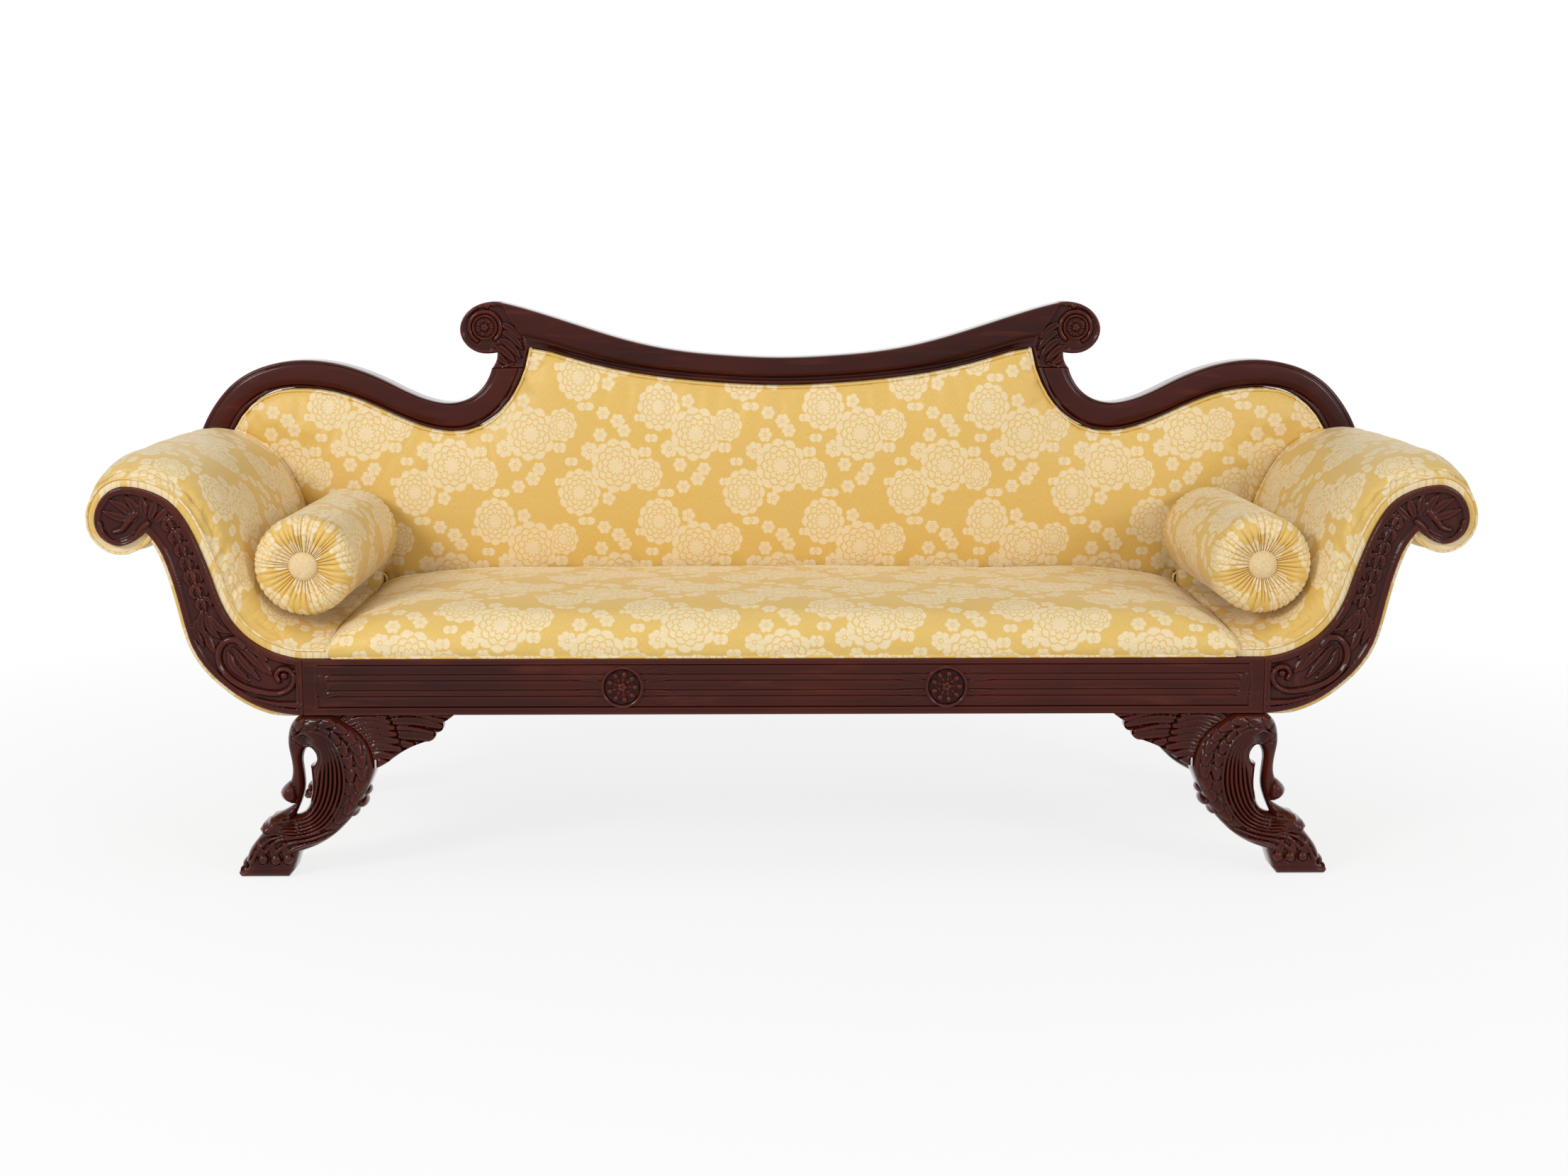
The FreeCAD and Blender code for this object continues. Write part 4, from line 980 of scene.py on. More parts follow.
def rosette(name, centre, profile, bead_rings, node):
    verts, faces = turned(profile, centre)
    piece = finish_mesh(name, verts, faces, carved_wood, sharp=40)
    for count, ring, size, depth in bead_rings:
        grow(piece, bead_ring, Count=count, Ring_Radius=ring * MM, Bead_Size=tuple(s * MM for s in size),
             Centre=(centre[0], centre[1] + depth * MM, centre[2]), Finish=carved_wood)
    store_hollowness(piece, 0.4)
    settle(piece, "frame", "wood", node)


ROSETTE_PROFILE = [(0, 1.0), (21, 1.6), (28.5, 0.6), (30.2, -2.4), (31.6, -4.0), (33.2, -4.3), (34.6, -3.4),
                   (35.2, -1.6), (34.6, 0.8), (36.0, 1.6), (36.5, 2.8), (0, 2.8)]
# Each ring of beads: their count, the ring's radius, the bead's three half sizes and the depth, in mm.
ROSETTE_BEADS = [(9, 21.5, (6.2, 5.4, 6.4), 0.6), (9, 13.0, (6.0, 2.6, 2.6), 0.8),
                 (5, 4.6, (5.2, 4.8, 6.6), 0.2)]
for side in ("left", "right"):
    low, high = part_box(f"rail_rosette_{side}")
    centre = ((low[0] + high[0]) / 2, FACE_Y - 1.0 * MM, (low[2] + high[2]) / 2)
    rosette(f"rail_rosette_turned_{side}", centre, ROSETTE_PROFILE, ROSETTE_BEADS, f"rail_rosette_{side}")

# %% [markdown]
# ## Moulded back rails
# The back's rails are bent mouldings: one cross-section carried along a curve whose width changes. The two
# edge lines come from the CAD node. Both are divided into the same number of stations, and at each station
# the section is stretched between them.


# %% A moulding between two edges
def edge_between(loop, start, end, past):
    """The way along a closed outline from near start to near end that passes nearest to past."""
    a, b = (int(np.argmin(np.linalg.norm(loop - np.array(p), axis=1))) for p in (start, end))
    around = np.vstack([loop, loop])
    ahead = around[a:(b if b > a else b + len(loop)) + 1]
    behind = around[b:(a if a > b else a + len(loop)) + 1][::-1]
    return min(ahead, behind, key=lambda path: np.linalg.norm(path - np.array(past), axis=1).min())


def moulding(upper, lower, front, back, section, stations, rounding=4.0):
    """A bar between two edge lines; section gives the front's lift, in mm, across the bar and along it."""
    up = resample(upper, stations)
    down = resample(lower, stations)
    width = np.linalg.norm(up - down, axis=1)[:, None]
    share = np.linspace(0, 1, stations)[:, None]
    fine = np.sin(np.linspace(0, math.pi / 2, 7)) * 0.06
    across = np.concatenate([fine[:-1], np.linspace(0.06, 0.94, 34), 1 - fine[::-1][1:]])[None, :]
    gap = np.minimum(across, 1 - across) * width
    near = np.clip(1 - gap / (rounding * MM), 0, 1)
    drop = rounding * MM * (1 - np.sqrt(1 - near ** 2))
    y = front + drop - section(across, share, width / MM) * MM * np.clip(gap / (1.5 * MM), 0, 1)
    spots = down[:, None, :] + (up - down)[:, None, :] * across[..., None]
    face = np.stack([spots[..., 0], y, spots[..., 1]], -1)
    rear = face[:, ::-3].copy()
    rear_gap = gap[:, ::-3]
    near = np.clip(1 - rear_gap / (rounding * MM), 0, 1)
    rear[..., 1] = back - rounding * MM * (1 - np.sqrt(1 - near ** 2))
    rings = np.concatenate([face, rear, face[:, :1]], 1)
    count = rings.shape[1]
    faces = [tuple(f) for f in grid_faces(stations, count)]
    last = (stations - 1) * count
    faces += [tuple(range(count - 1)), tuple(range(last, last + count - 1))]
    return rings.reshape(-1, 3), faces


def side_section(across, share, width):
    """Across the side rail, from its inner edge: a bead, a groove, a broad swell and a rolled edge."""
    inner = across * width
    outer = (1 - across) * width
    bead = 1.6 * np.sqrt(np.clip(1 - ((inner - 4) / 3.6) ** 2, 0, 1))
    groove = -2.6 * np.exp(-((inner - 9.6) / 2.0) ** 2)
    swell = 4.2 * np.sqrt(np.clip(1 - ((across - 0.55) / 0.44) ** 2, 0, 1)) * (inner > 7)
    lip = -1.4 * np.exp(-((outer - 10) / 2.4) ** 2)
    return bead + groove + swell + lip


def crest_section(across, share, width):
    """Across the crest rail, from its lower edge: a thin bead, a cove and a broad swell."""
    inner = across * width
    bead = 1.2 * np.sqrt(np.clip(1 - ((inner - 3) / 2.6) ** 2, 0, 1))
    cove = -4.0 * np.exp(-((inner - 11) / 4.5) ** 2) * np.clip(np.minimum(share, 1 - share) * 22, 0, 1)
    swell = 6.0 * np.sqrt(np.clip(1 - ((across - 0.66) / 0.4) ** 2, 0, 1))
    return bead + cove + swell


WOOD_FRONT, WOOD_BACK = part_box("crest_rail")[0][1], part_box("crest_rail")[1][1]
side_loop = plane_loops("back_side_rail_left", WOOD_FRONT)[0]
side_top = edge_between(side_loop, (-1.106, 0.668), (-0.545, 0.826), (-0.891, 0.842))
side_under = edge_between(side_loop, (-1.052, 0.661), (-0.484, 0.827), (-0.900, 0.791))
verts, faces = moulding(side_top, side_under, WOOD_FRONT, WOOD_BACK, side_section, 110)
carved_pair("back_side_rail_moulded", verts, faces, rail_wood, "back_side_rail", 0.5)

crest_loop = plane_loops("crest_rail", WOOD_FRONT)[0]
crest_top = edge_between(crest_loop, (-0.526, 0.950), (0.526, 0.950), (0.0, 0.847))
crest_under = edge_between(crest_loop, (-0.475, 0.866), (0.475, 0.866), (0.0, 0.796))
verts, faces = moulding(crest_top, crest_under, WOOD_FRONT, WOOD_BACK, crest_section, 220)
crest = finish_mesh("crest_rail_moulded", verts, faces, rail_wood)
store_hollowness(crest, 0.5)
settle(crest, "frame", "wood", "crest_rail")

# %% [markdown]
# ## Crest scrolls
# Where the crest meets each side rail, the wood rolls up round a carved eye and a bunch of leaves runs down
# over the joint. It is a relief like the arm scrolls.

# %% Strokes of the crest scroll
EYE = (-556, 903)
CREST_LEAVES = [
    [(-538, 868), (-520, 858), (-500, 838)], [(-528, 882), (-508, 868), (-490, 846)],
    [(-524, 896), (-504, 884), (-486, 862)], [(-526, 910), (-506, 900), (-488, 882)],
    [(-546, 864), (-532, 848), (-512, 832)],
]


def carve_crest_scroll(work):
    work.border([crest_scroll_loop], 6.0, 0.8, 1.6)
    angles = np.radians(np.arange(-60, 230, 18))
    ring = [(EYE[0] - 29 * math.cos(a), EYE[1] + 29 * math.sin(a)) for a in angles]
    for path in CREST_LEAVES:
        work.leaf(path, 15, 5.0, -1.6, 0.4, 0.8)
    work.roll(ring, 11, 5.0, -1.6, (0.8, 0.9), 0.9)
    work.roll([(-560, 818), (-543, 816), (-522, 828), (-505, 835)], 7, 3.4, -1.2, (0.7, 0.8), 0.8)
    work.leaf([(-566, 940), (-552, 948), (-536, 944)], 12, 4.4, -1.6, 0.3, 0.6)
    work.bead(-552, 943, 6.0, 4.6, -1.2)


crest_scroll_loop = plane_loops("crest_scroll_left", WOOD_FRONT)[0]
verts, faces = relief([crest_scroll_loop], carve_crest_scroll, WOOD_FRONT, WOOD_BACK, 1.7 * MM, 3.0 * MM)
carved_pair("crest_scroll_carved", verts, faces, carved_wood, "crest_scroll", 0.45)

EYE_PROFILE = [(0, -1.0), (8, -1.0), (13, -2.2), (17.5, -1.0), (19, -4.5), (21.5, -6.0), (23.4, -4.6),
               (24.0, -2.0), (24.0, 3.0), (0, 3.0)]
EYE_BEADS = [(7, 13.0, (5.0, 3.0, 4.2), -2.0), (5, 3.8, (4.6, 4.0, 5.0), -3.0)]
for side in ("left", "right"):
    low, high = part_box(f"crest_rosette_{side}")
    centre = ((low[0] + high[0]) / 2, high[1], (low[2] + high[2]) / 2)
    rosette(f"crest_rosette_turned_{side}", centre, EYE_PROFILE, EYE_BEADS, f"crest_rosette_{side}")

# %% [markdown]
# ## Swan legs
# Each leg is a swan: the neck arches over a pierced gap down to its beak, feathers run down the breast, and
# the body ends in a paw on a small plate. The leg is sawn from a thick board and carved on both faces, so
# the relief is made twice, back to back. The thin neck is cut far down from both faces.

# %% Strokes of the swan
NECK_LINE = [(-812, 268), (-822, 250), (-824, 225), (-824, 200), (-823, 175), (-826, 158), (-834, 140),
             (-830, 122)]
FEATHER_INNER = [(-806, 226), (-792, 229), (-777, 222), (-773, 205), (-779, 190), (-784, 172), (-788, 150),
                 (-796, 126), (-812, 110), (-836, 104), (-866, 98)]
FEATHER_OUTER = [(-822, 238), (-802, 252), (-770, 250), (-746, 226), (-734, 190), (-734, 150), (-748, 112),
                 (-774, 84), (-808, 72), (-840, 72), (-880, 84)]
STRANDS = 7
NECK_SINK, NECK_REACH, NECK_SLOPE = 18.0, 44.0, 26.0
# Each small feather: its place and the way it points, in degrees from the X axis.
SCALES = [
    (-826, 245, 100), (-812, 264, 60), (-790, 271, 20), (-766, 268, -8), (-744, 260, -30),
    (-728, 246, -48), (-716, 228, -62), (-709, 208, -76), (-707, 187, -88), (-709, 166, -98),
    (-716, 146, -112), (-727, 127, -122), (-741, 110, -132), (-756, 97, -142), (-797, 257, 10),
    (-776, 253, -12), (-756, 243, -35), (-741, 226, -55), (-731, 206, -72), (-727, 184, -86),
    (-728, 162, -96), (-734, 141, -108), (-744, 122, -122),
]
SHIN_RIBS = [
    [(-742, 84), (-775, 66), (-812, 56), (-838, 44)], [(-760, 82), (-795, 68), (-832, 60), (-856, 44)],
    [(-780, 80), (-812, 72), (-850, 66), (-872, 46)], [(-840, 74), (-866, 66), (-886, 46), (-896, 28)],
    [(-850, 78), (-876, 72), (-892, 54), (-902, 34)],
]
TOES = [(-876, 33, 8), (-855, 32, 8.5), (-834, 33, 8.5)]


def carve_leg(work):
    at, gap, share = work.near(NECK_LINE, NECK_REACH + 2)
    sink = np.clip((NECK_REACH - gap) / NECK_SLOPE, 0, 1)
    work.sunk[at] = NECK_SINK * MM * sink * sink * (3 - 2 * sink) * np.clip(share * 5, 0, 1)
    for x, z, turn in SCALES[::-1]:
        a = math.radians(turn)
        ahead = np.array([math.cos(a), math.sin(a)]) * 13
        path = [(x - ahead[0], z - ahead[1]), (x, z), (x + ahead[0], z + ahead[1])]
        work.feather(path, 21, 4.0, 0.0, 0.2, 1.3)
    inner = resample(smooth_path(FEATHER_INNER), 40)
    outer = resample(smooth_path(FEATHER_OUTER), 40)
    for i in range(STRANDS):
        f = (i + 0.5) / STRANDS
        strand = inner + (outer - inner) * f
        work.roll(strand[::3], 9.0, 5.0, 0.0, (0.8, 0.5), 1.0)
    for path in SHIN_RIBS:
        work.roll(path, 8, 3.6, 0.0, (0.6, 1.0), 1.2)
    for x, z, radius in TOES:
        work.roll([(x - 6, z + 26), (x - 4, z + 12), (x, z)], 2 * radius, 3.2, 0.0, (0.5, 1.0), 0.9)
        work.bead(x, z, radius, 6.0, 0.0, 1.2)
    plate = work.spots[:, 1] < 15 * MM
    work.height[plate] = np.minimum(work.height[plate], -1.0 * MM)
    work.roll([(-835, 147), (-834, 137)], 25, 9.0, 0.0, line=0.4)
    work.bead(-833, 139, 3.0, 10.0, 0.0, 1.4)
    work.roll([(-842, 128), (-852, 133), (-853, 141)], 3, 0.8, 0.0)


def ball(centre, radius, squash=1.0, steps=20):
    """A round bead with its axis along Y."""
    angle = np.linspace(0, np.pi, steps // 2 + 1)
    profile = [(radius * math.sin(a), -radius * squash * math.cos(a)) for a in angle]
    return turned(profile, centre, steps)


def joined(parts):
    """Several point and face lists as one."""
    verts, faces = [], []
    count = 0
    for points, polygons in parts:
        verts.append(points)
        faces += [tuple(int(i) + count for i in f) for f in polygons]
        count += len(points)
    return np.vstack(verts), faces


LEG_THICK = 75.0
HEEL_BEADS = [(-704, 145, 8.0), (-712, 126, 10.0), (-727, 109, 9.0)]
for place in ("front", "back"):
    node = f"leg_{place}_left"
    leg_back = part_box(node)[1][1]
    leg_face = leg_back - LEG_THICK * MM
    middle = (leg_face + leg_back) / 2
    leg_loops = plane_loops(node, leg_face, 0.12)
    verts, faces = relief(leg_loops, carve_leg, leg_face, leg_back, 1.9 * MM, 15.0 * MM, both=True)
    beads = [ball((x * MM, middle, z * MM), r, 3.2) for x, z, r in HEEL_BEADS]
    beads.append(ball((-908 * MM, middle, 21 * MM), 8.5, 3.6))
    verts, faces = joined([(verts, faces), *beads])
    carved_pair(f"swan_leg_{place}", verts, faces, carved_wood, f"leg_{place}", 0.45, 60)

# %% [markdown]
# ## Wings
# A feathered wing fills the angle between each front leg and the rail. Short covert feathers lie over long
# flight feathers, so the long ones are laid first. The wing's field is sunk to let the feathers stand out.

# %% Strokes of the wing
WING_SINK = 8.0
LONG_FEATHERS = [
    [(-690, 276), (-620, 283), (-560, 277)], [(-692, 268), (-630, 276), (-573, 268)],
    [(-692, 258), (-630, 268), (-576, 259)], [(-690, 244), (-640, 252), (-590, 247)],
    [(-690, 234), (-640, 242), (-588, 239)], [(-680, 222), (-655, 228), (-625, 228)],
    [(-680, 210), (-665, 214), (-643, 216)],
]
COVERTS = [
    [(-736, 272), (-705, 277), (-668, 276)], [(-734, 262), (-700, 270), (-662, 267)],
    [(-728, 250), (-695, 259), (-655, 257)], [(-722, 238), (-690, 248), (-652, 246)],
    [(-716, 226), (-685, 236), (-648, 234)], [(-710, 213), (-680, 223), (-645, 221)],
    [(-704, 200), (-680, 209), (-655, 208)], [(-700, 190), (-685, 197), (-668, 197)],
]


def carve_wing(work):
    work.height -= WING_SINK * MM
    for path in LONG_FEATHERS:
        work.feather(path, 16, 6.0, -WING_SINK, 0.3, 1.6)
    for path in COVERTS:
        work.feather(path, 16, 7.0, 2.0 - WING_SINK, 0.25, 1.8)


wing_low, wing_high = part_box("wing_left")
wing_loops = plane_loops("wing_left", wing_low[1])
verts, faces = relief(wing_loops[:1], carve_wing, wing_low[1], wing_high[1], 1.7 * MM, 5.0 * MM)
carved_pair("wing_feathered", verts, faces, carved_wood, "wing", 0.6, 60)

# %% [markdown]
# ## Upholstery
# The covers are cut from one damask and pulled over stuffing, so each piece is a grid that follows how the
# cloth lies: along the seat, up and over the arm, round the bolster. The same grid gives the cloth its own
# map in metres, so the woven figure keeps its size and turns with the surface.


# %% Small irregularities and cord
def ripples(points, length, seed, waves=16):
    """A smooth uneven height between about -1 and 1 over points; length is the size of its swells."""
    draw = np.random.default_rng(seed)
    total = np.zeros(len(points))
    for _ in range(waves):
        ahead = draw.normal(size=points.shape[1])
        ahead *= 2 * np.pi / length / np.linalg.norm(ahead) * draw.uniform(0.6, 1.6)
        total += np.sin(points @ ahead + draw.uniform(0, 6.28))
    return total / math.sqrt(waves * 1.5)


def closed_rings(rings, name, finish, uv, sharp=50):
    """A closed form from rings of equal count: the stations' loops, joined, with both ends filled."""
    stations, count = rings.shape[:2]
    verts = rings.reshape(-1, 3)
    at = np.arange(stations * count).reshape(stations, count)
    a, b = at[:-1], at[1:]
    faces = np.stack([a, np.roll(a, -1, 1), np.roll(b, -1, 1), b], -1).reshape(-1, 4)
    half = count // 2
    near, far = np.arange(half - 1), count - 1 - np.arange(half - 1)
    for end in (0, stations - 1):
        base = end * count
        cap = np.stack([near, near + 1, far - 1, far], -1) + base
        faces = np.vstack([faces, cap])
    return finish_mesh(name, verts, faces, finish, uv=uv, sharp=sharp)


def cord_grid(path, radius, sides=10):
    """A cord's points, faces and cloth map along a path of points in space, with rounded ends."""
    path = np.asarray(path, float)
    count = len(path)
    ahead = np.gradient(path, axis=0)
    ahead /= np.linalg.norm(ahead, axis=1)[:, None]
    other = [0.0, 1.0, 0.0] if abs(ahead[0][1]) < 0.9 else [0.0, 0.0, 1.0]
    side = np.cross(ahead, other)
    side /= np.linalg.norm(side, axis=1)[:, None]
    lift = np.cross(side, ahead)
    angle = np.linspace(0, 2 * np.pi, sides + 1)
    far = lengths(path)
    round_off = np.sqrt(np.clip(1 - np.clip(1 - np.minimum(far, far[-1] - far) / radius, 0, 1) ** 2, 0.0, 1))
    size = (radius * round_off)[:, None, None]
    rings = path[:, None, :] + size * (np.cos(angle)[None, :, None] * side[:, None, :]
                                       + np.sin(angle)[None, :, None] * lift[:, None, :])
    uv = np.stack([np.repeat(far, sides + 1), np.tile(angle * radius, count)], -1)
    return rings.reshape(-1, 3), [tuple(f) for f in grid_faces(count, sides + 1)], uv


def cord_tube(name, path, radius, finish, replaced):
    """Covered piping cord as a piece of its own."""
    verts, faces, uv = cord_grid(path, radius)
    piece = finish_mesh(name, verts, faces, finish, uv=uv)
    return settle(piece, "frame", "damask", replaced)


CLOTH_MASS = 0.2
CLOTH_STRETCH, CLOTH_SHEAR, CLOTH_BEND = 20.0, 6.0, 0.15
AIR_DRAG = 4.0
STUFFING_PRESSURE = 4.0


def pull_over_stuffing(piece, pinned, loose, cap, frames=12):
    """Cloth simulation: pressure from inside fills the cover, a little spare cloth lets it ripple, and the
    pinned points stay. Each point's movement is capped, in mm, and the result is applied to the mesh."""
    mesh = piece.data
    before = np.zeros(len(mesh.vertices) * 3)
    mesh.vertices.foreach_get("co", before)
    before = before.reshape(-1, 3)
    group = piece.vertex_groups.new(name="pinned")
    group.add([int(i) for i in np.nonzero(pinned(before))[0]], 1.0, "REPLACE")
    cloth = piece.modifiers.new("cloth", "CLOTH")
    rules = cloth.settings
    rules.quality = 5
    rules.mass = CLOTH_MASS
    rules.tension_stiffness = CLOTH_STRETCH
    rules.compression_stiffness = CLOTH_STRETCH
    rules.shear_stiffness = CLOTH_SHEAR
    rules.bending_stiffness = CLOTH_BEND
    rules.air_damping = AIR_DRAG
    rules.use_pressure = True
    rules.uniform_pressure_force = STUFFING_PRESSURE
    rules.shrink_min = -loose
    rules.effector_weights.gravity = 0.0
    rules.vertex_group_mass = "pinned"
    cloth.collision_settings.use_collision = False
    cloth.point_cache.frame_start = 1
    cloth.point_cache.frame_end = frames
    for frame_number in range(1, frames + 1):
        scene.frame_set(frame_number)
    settled = piece.evaluated_get(bpy.context.evaluated_depsgraph_get()).to_mesh()
    after = np.zeros(len(mesh.vertices) * 3)
    settled.vertices.foreach_get("co", after)
    move = after.reshape(-1, 3) - before
    far = np.linalg.norm(move, axis=1)[:, None] + 1e-12
    move *= np.tanh(far / (cap * MM)) * cap * MM / far
    piece.modifiers.remove(cloth)
    piece.vertex_groups.remove(group)
    mesh.vertices.foreach_set("co", (before + move).ravel())
    mesh.update()
    scene.frame_set(1)
    print(piece.name, "moved up to", round(float(np.linalg.norm(move, axis=1).max()) / MM, 1), "mm")


print("upholstery tools ready")

# %% [markdown]
# ## Seat
# The seat is a long crowned pad. Its front bulges a little over the rail, its top is nearly flat, and its
# ends draw down to the arms. One section is swept along the seat, and its height changes towards the ends.
# The stuffing rises again in the two rear corners, behind the bolsters.

# %% Seat pad and its piping
SEAT_CROWN, SEAT_END_DROP = 82.0, 36.0
# The section from front to back: the distance behind the rail's face, and the height as a share of the crown.
SEAT_SECTION = [(3, 0.045), (-2.5, 0.13), (-5.5, 0.28), (-4.5, 0.45), (2, 0.62), (16, 0.755), (42, 0.86),
                (90, 0.94), (160, 0.985), (280, 1.0), (420, 1.0), (490, 0.985), (533, 0.93)]
SEAT_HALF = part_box("seat_pad")[1][0] / MM
RAIL_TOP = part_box("front_seat_rail")[1][2] / MM
FRONT = FACE_Y / MM
BOLSTER_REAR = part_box("bolster_left")[1][1] / MM
CORNER_RISE = 34.0  # how far seat and arm rise, in mm, in the corner behind a bolster


def seat_rings():
    stations = np.concatenate([-SEAT_HALF + np.array([0, 0.6, 2, 4.5, 8, 12.5]),
                               np.linspace(-SEAT_HALF + 18, SEAT_HALF - 18, 200),
                               SEAT_HALF - np.array([12.5, 8, 4.5, 2, 0.6, 0])])
    rings, uvs = [], []
    for x in stations:
        end = SEAT_HALF - abs(x)
        crown = SEAT_CROWN - SEAT_END_DROP * math.exp(-(end / 62) ** 1.1) - 3 * (x / SEAT_HALF) ** 2
        tuck = 5.0 * math.exp(-end / 4.0)
        corner = CORNER_RISE * math.exp(-(end / 90) ** 2)
        spots = []
        for y, share in SEAT_SECTION:
            rear = np.clip((FRONT + y - BOLSTER_REAR) / 60, 0, 1)
            spots.append((FRONT + y + tuck * (y < 100), RAIL_TOP + share * (crown + corner * rear)))
        spots = np.array(spots)
        top = resample(smooth_path(spots, 12), 84)
        top[:, 1] -= tuck * np.clip((top[:, 1] - RAIL_TOP) / 40, 0, 1)
        base = np.stack([np.linspace(top[-1, 0], top[0, 0], 84), np.full(84, RAIL_TOP + 1.5)], -1)
        ring = np.vstack([top, base])
        rings.append(np.stack([np.full(len(ring), x), ring[:, 0], ring[:, 1]], -1))
        far = lengths(top)
        uvs.append(np.stack([np.full(len(ring), x), np.concatenate([far, far[::-1]])], -1))
    return np.array(rings), np.array(uvs).reshape(-1, 2) * MM


rings, uv = seat_rings()
flat = rings.reshape(-1, 3)
on_top = np.clip((flat[:, 2] - RAIL_TOP - 6) / 20, 0, 1)
flat[:, 2] += on_top * 1.3 * ripples(flat[:, :2], 260.0, 5)
pull = np.exp(-((flat[:, 2] - RAIL_TOP - 8) / 12) ** 2) * (flat[:, 1] < FRONT + 20)
flat[:, 1] += pull * 0.8 * ripples(flat[:, :1], 34.0, 8)
seat = closed_rings(rings * MM, "seat_cover", damask_cloth, uv)


def seat_seams(place):
    x, y, z = (place / MM).T
    return (z < RAIL_TOP + 9) | (np.abs(x) > SEAT_HALF - 5) | (y > SEAT_SECTION[-1][0] + FRONT - 12)


pull_over_stuffing(seat, seat_seams, 0.012, 6.0)
settle(seat, "frame", "damask", "seat_pad")

low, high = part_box("seat_piping")
seat_cord = np.linspace((low[0], 0, 0), (high[0], 0, 0), 260)
seat_cord[:, 1] = (low[1] + high[1]) / 2
seat_cord[:, 2] = (low[2] + high[2]) / 2
PIPING_RADIUS = (high[2] - low[2]) / 2
cord_tube("seat_piping_cord", seat_cord, PIPING_RADIUS, damask_cloth, "seat_piping")

# %% [markdown]
# ## Inside back
# The back is a thin pad with one smooth crown, tacked close to the show-wood all round. A relief of its own
# outline makes it: the height grows quickly over the first centimetre and then slowly towards the middle.
# A thin welt is laid along its edge.

# %% Back pad
BACK_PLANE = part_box("back_pad")[1][1]
WELT_INSET, WELT_LIFT, WELT_RADIUS = 4.0, 12.5, 2.6
back_outline = plane_loops("back_pad", BACK_PLANE)[0]


def crown_back(work):
    gap = work.gap / MM
    work.height += (9 * (1 - np.exp(-gap / 5.0)) + 22 * (1 - np.exp(-gap / 70.0))) * MM
    work.height += 0.8 * MM * ripples(work.spots, 0.3, 11) * (1 - np.exp(-gap / 40.0))


verts, faces = relief([back_outline], crown_back, BACK_PLANE - 5 * MM, BACK_PLANE, 7 * MM, 4 * MM)
closed_outline = np.vstack([back_outline, back_outline[:1]])
low_middle = np.argmin(np.abs(back_outline[:, 0]) + back_outline[:, 1] * 9)
turned_outline = np.roll(back_outline, -low_middle, 0)
welt_path = resample(np.vstack([turned_outline, turned_outline[:1]]), 900)
welt_side = side_normals(welt_path)
if inside(np.array([welt_path[450] + welt_side[450] * 0.004]), [back_outline])[0]:
    welt_side = -welt_side
welt_path = welt_path - welt_side * WELT_INSET * MM
welt_depth = np.full(len(welt_path), BACK_PLANE - WELT_LIFT * MM)
welt_line = np.stack([welt_path[:, 0], welt_depth, welt_path[:, 1]], -1)
welt_points, welt_faces, _ = cord_grid(welt_line, WELT_RADIUS * MM)
verts, faces = joined([(verts, faces), (welt_points, welt_faces)])
back = finish_mesh("back_cover", verts, faces, damask_cloth, uv=verts[:, [0, 2]], sharp=60)


def back_seams(place):
    near_edge = segment_gap(place[:, [0, 2]], closed_outline)[0] < 9 * MM
    return near_edge | (place[:, 1] > BACK_PLANE - 4 * MM)


pull_over_stuffing(back, back_seams, 0.012, 5.0)
settle(back, "frame", "damask", "back_pad")

# %% [markdown]
# ## Arms
# The arm's cover starts at a piped seam a finger's width outside the carved board, swells to its full
# stuffing towards the back, and follows the scroll up, over and under the volute. The scroll's upper edge is
# the spine of the form, and the thickness is measured square to it.

# %% Arm pads
# The stuffing's thickness in mm at each share of the way along the scroll.
STUFFING = [(0.0, 44), (0.06, 50), (0.16, 57), (0.55, 56), (0.66, 53), (0.73, 44), (0.78, 29), (0.83, 18),
            (0.9, 15), (1.0, 13)]
PIPE_OUT = 13.0
TUCKS = 15
BOARD_X = -800.0
FLAT_RUN = 43.0  # from the seam at the seat to the carved board
arm_front = FRONT + 9.0
arm_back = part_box("arm_pad_left")[1][1] / MM
SEAM_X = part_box("arm_pad_left")[1][0] / MM
arm_edge = edge_between(arm_loops[0], (-0.800, 0.374), (-1.050, 0.587), (-1.134, 0.604)) / MM
arm_edge = resample(np.vstack([[(SEAM_X, RAIL_TOP + 0.5)], arm_edge + (0, 0.5)]), 400)
flat_run = lengths(arm_edge)
arm_share = np.clip((flat_run - (SEAM_X - BOARD_X)) / (flat_run[-1] - FLAT_RUN), 0, 1)
arm_out = side_normals(arm_edge)
if arm_out[0, 1] < 0:
    arm_out = -arm_out


def smoothed(values, rounds):
    for _ in range(rounds):
        values[1:-1] = (values[:-2] + 2 * values[1:-1] + values[2:]) / 4
    return values


arm_out = smoothed(arm_out, 60)
arm_out /= np.linalg.norm(arm_out, axis=1)[:, None]
arm_thick = smoothed(np.interp(arm_share, *np.array(STUFFING).T), 40)


def tucks(run, far, seed):
    """Short creases where the cloth is tucked round the volute: how deep along the run, far mm back."""
    draw = np.random.default_rng(seed)
    dent = np.zeros(len(run))
    start = 0.32 * run[-1]
    for place in np.linspace(start, run[-1] - 20, TUCKS) + draw.uniform(-9, 9, TUCKS):
        deep, wide, reach = draw.uniform(2.0, 4.6), draw.uniform(4.0, 7.5), draw.uniform(22, 60)
        along = run - place - draw.uniform(-0.25, 0.25) * far
        dent -= deep * np.exp(-(along / (wide + far * 0.06)) ** 2) * math.exp(-(far - 5) / reach)
    return dent * min(1.0, max(0.0, (far - 3) / 6))


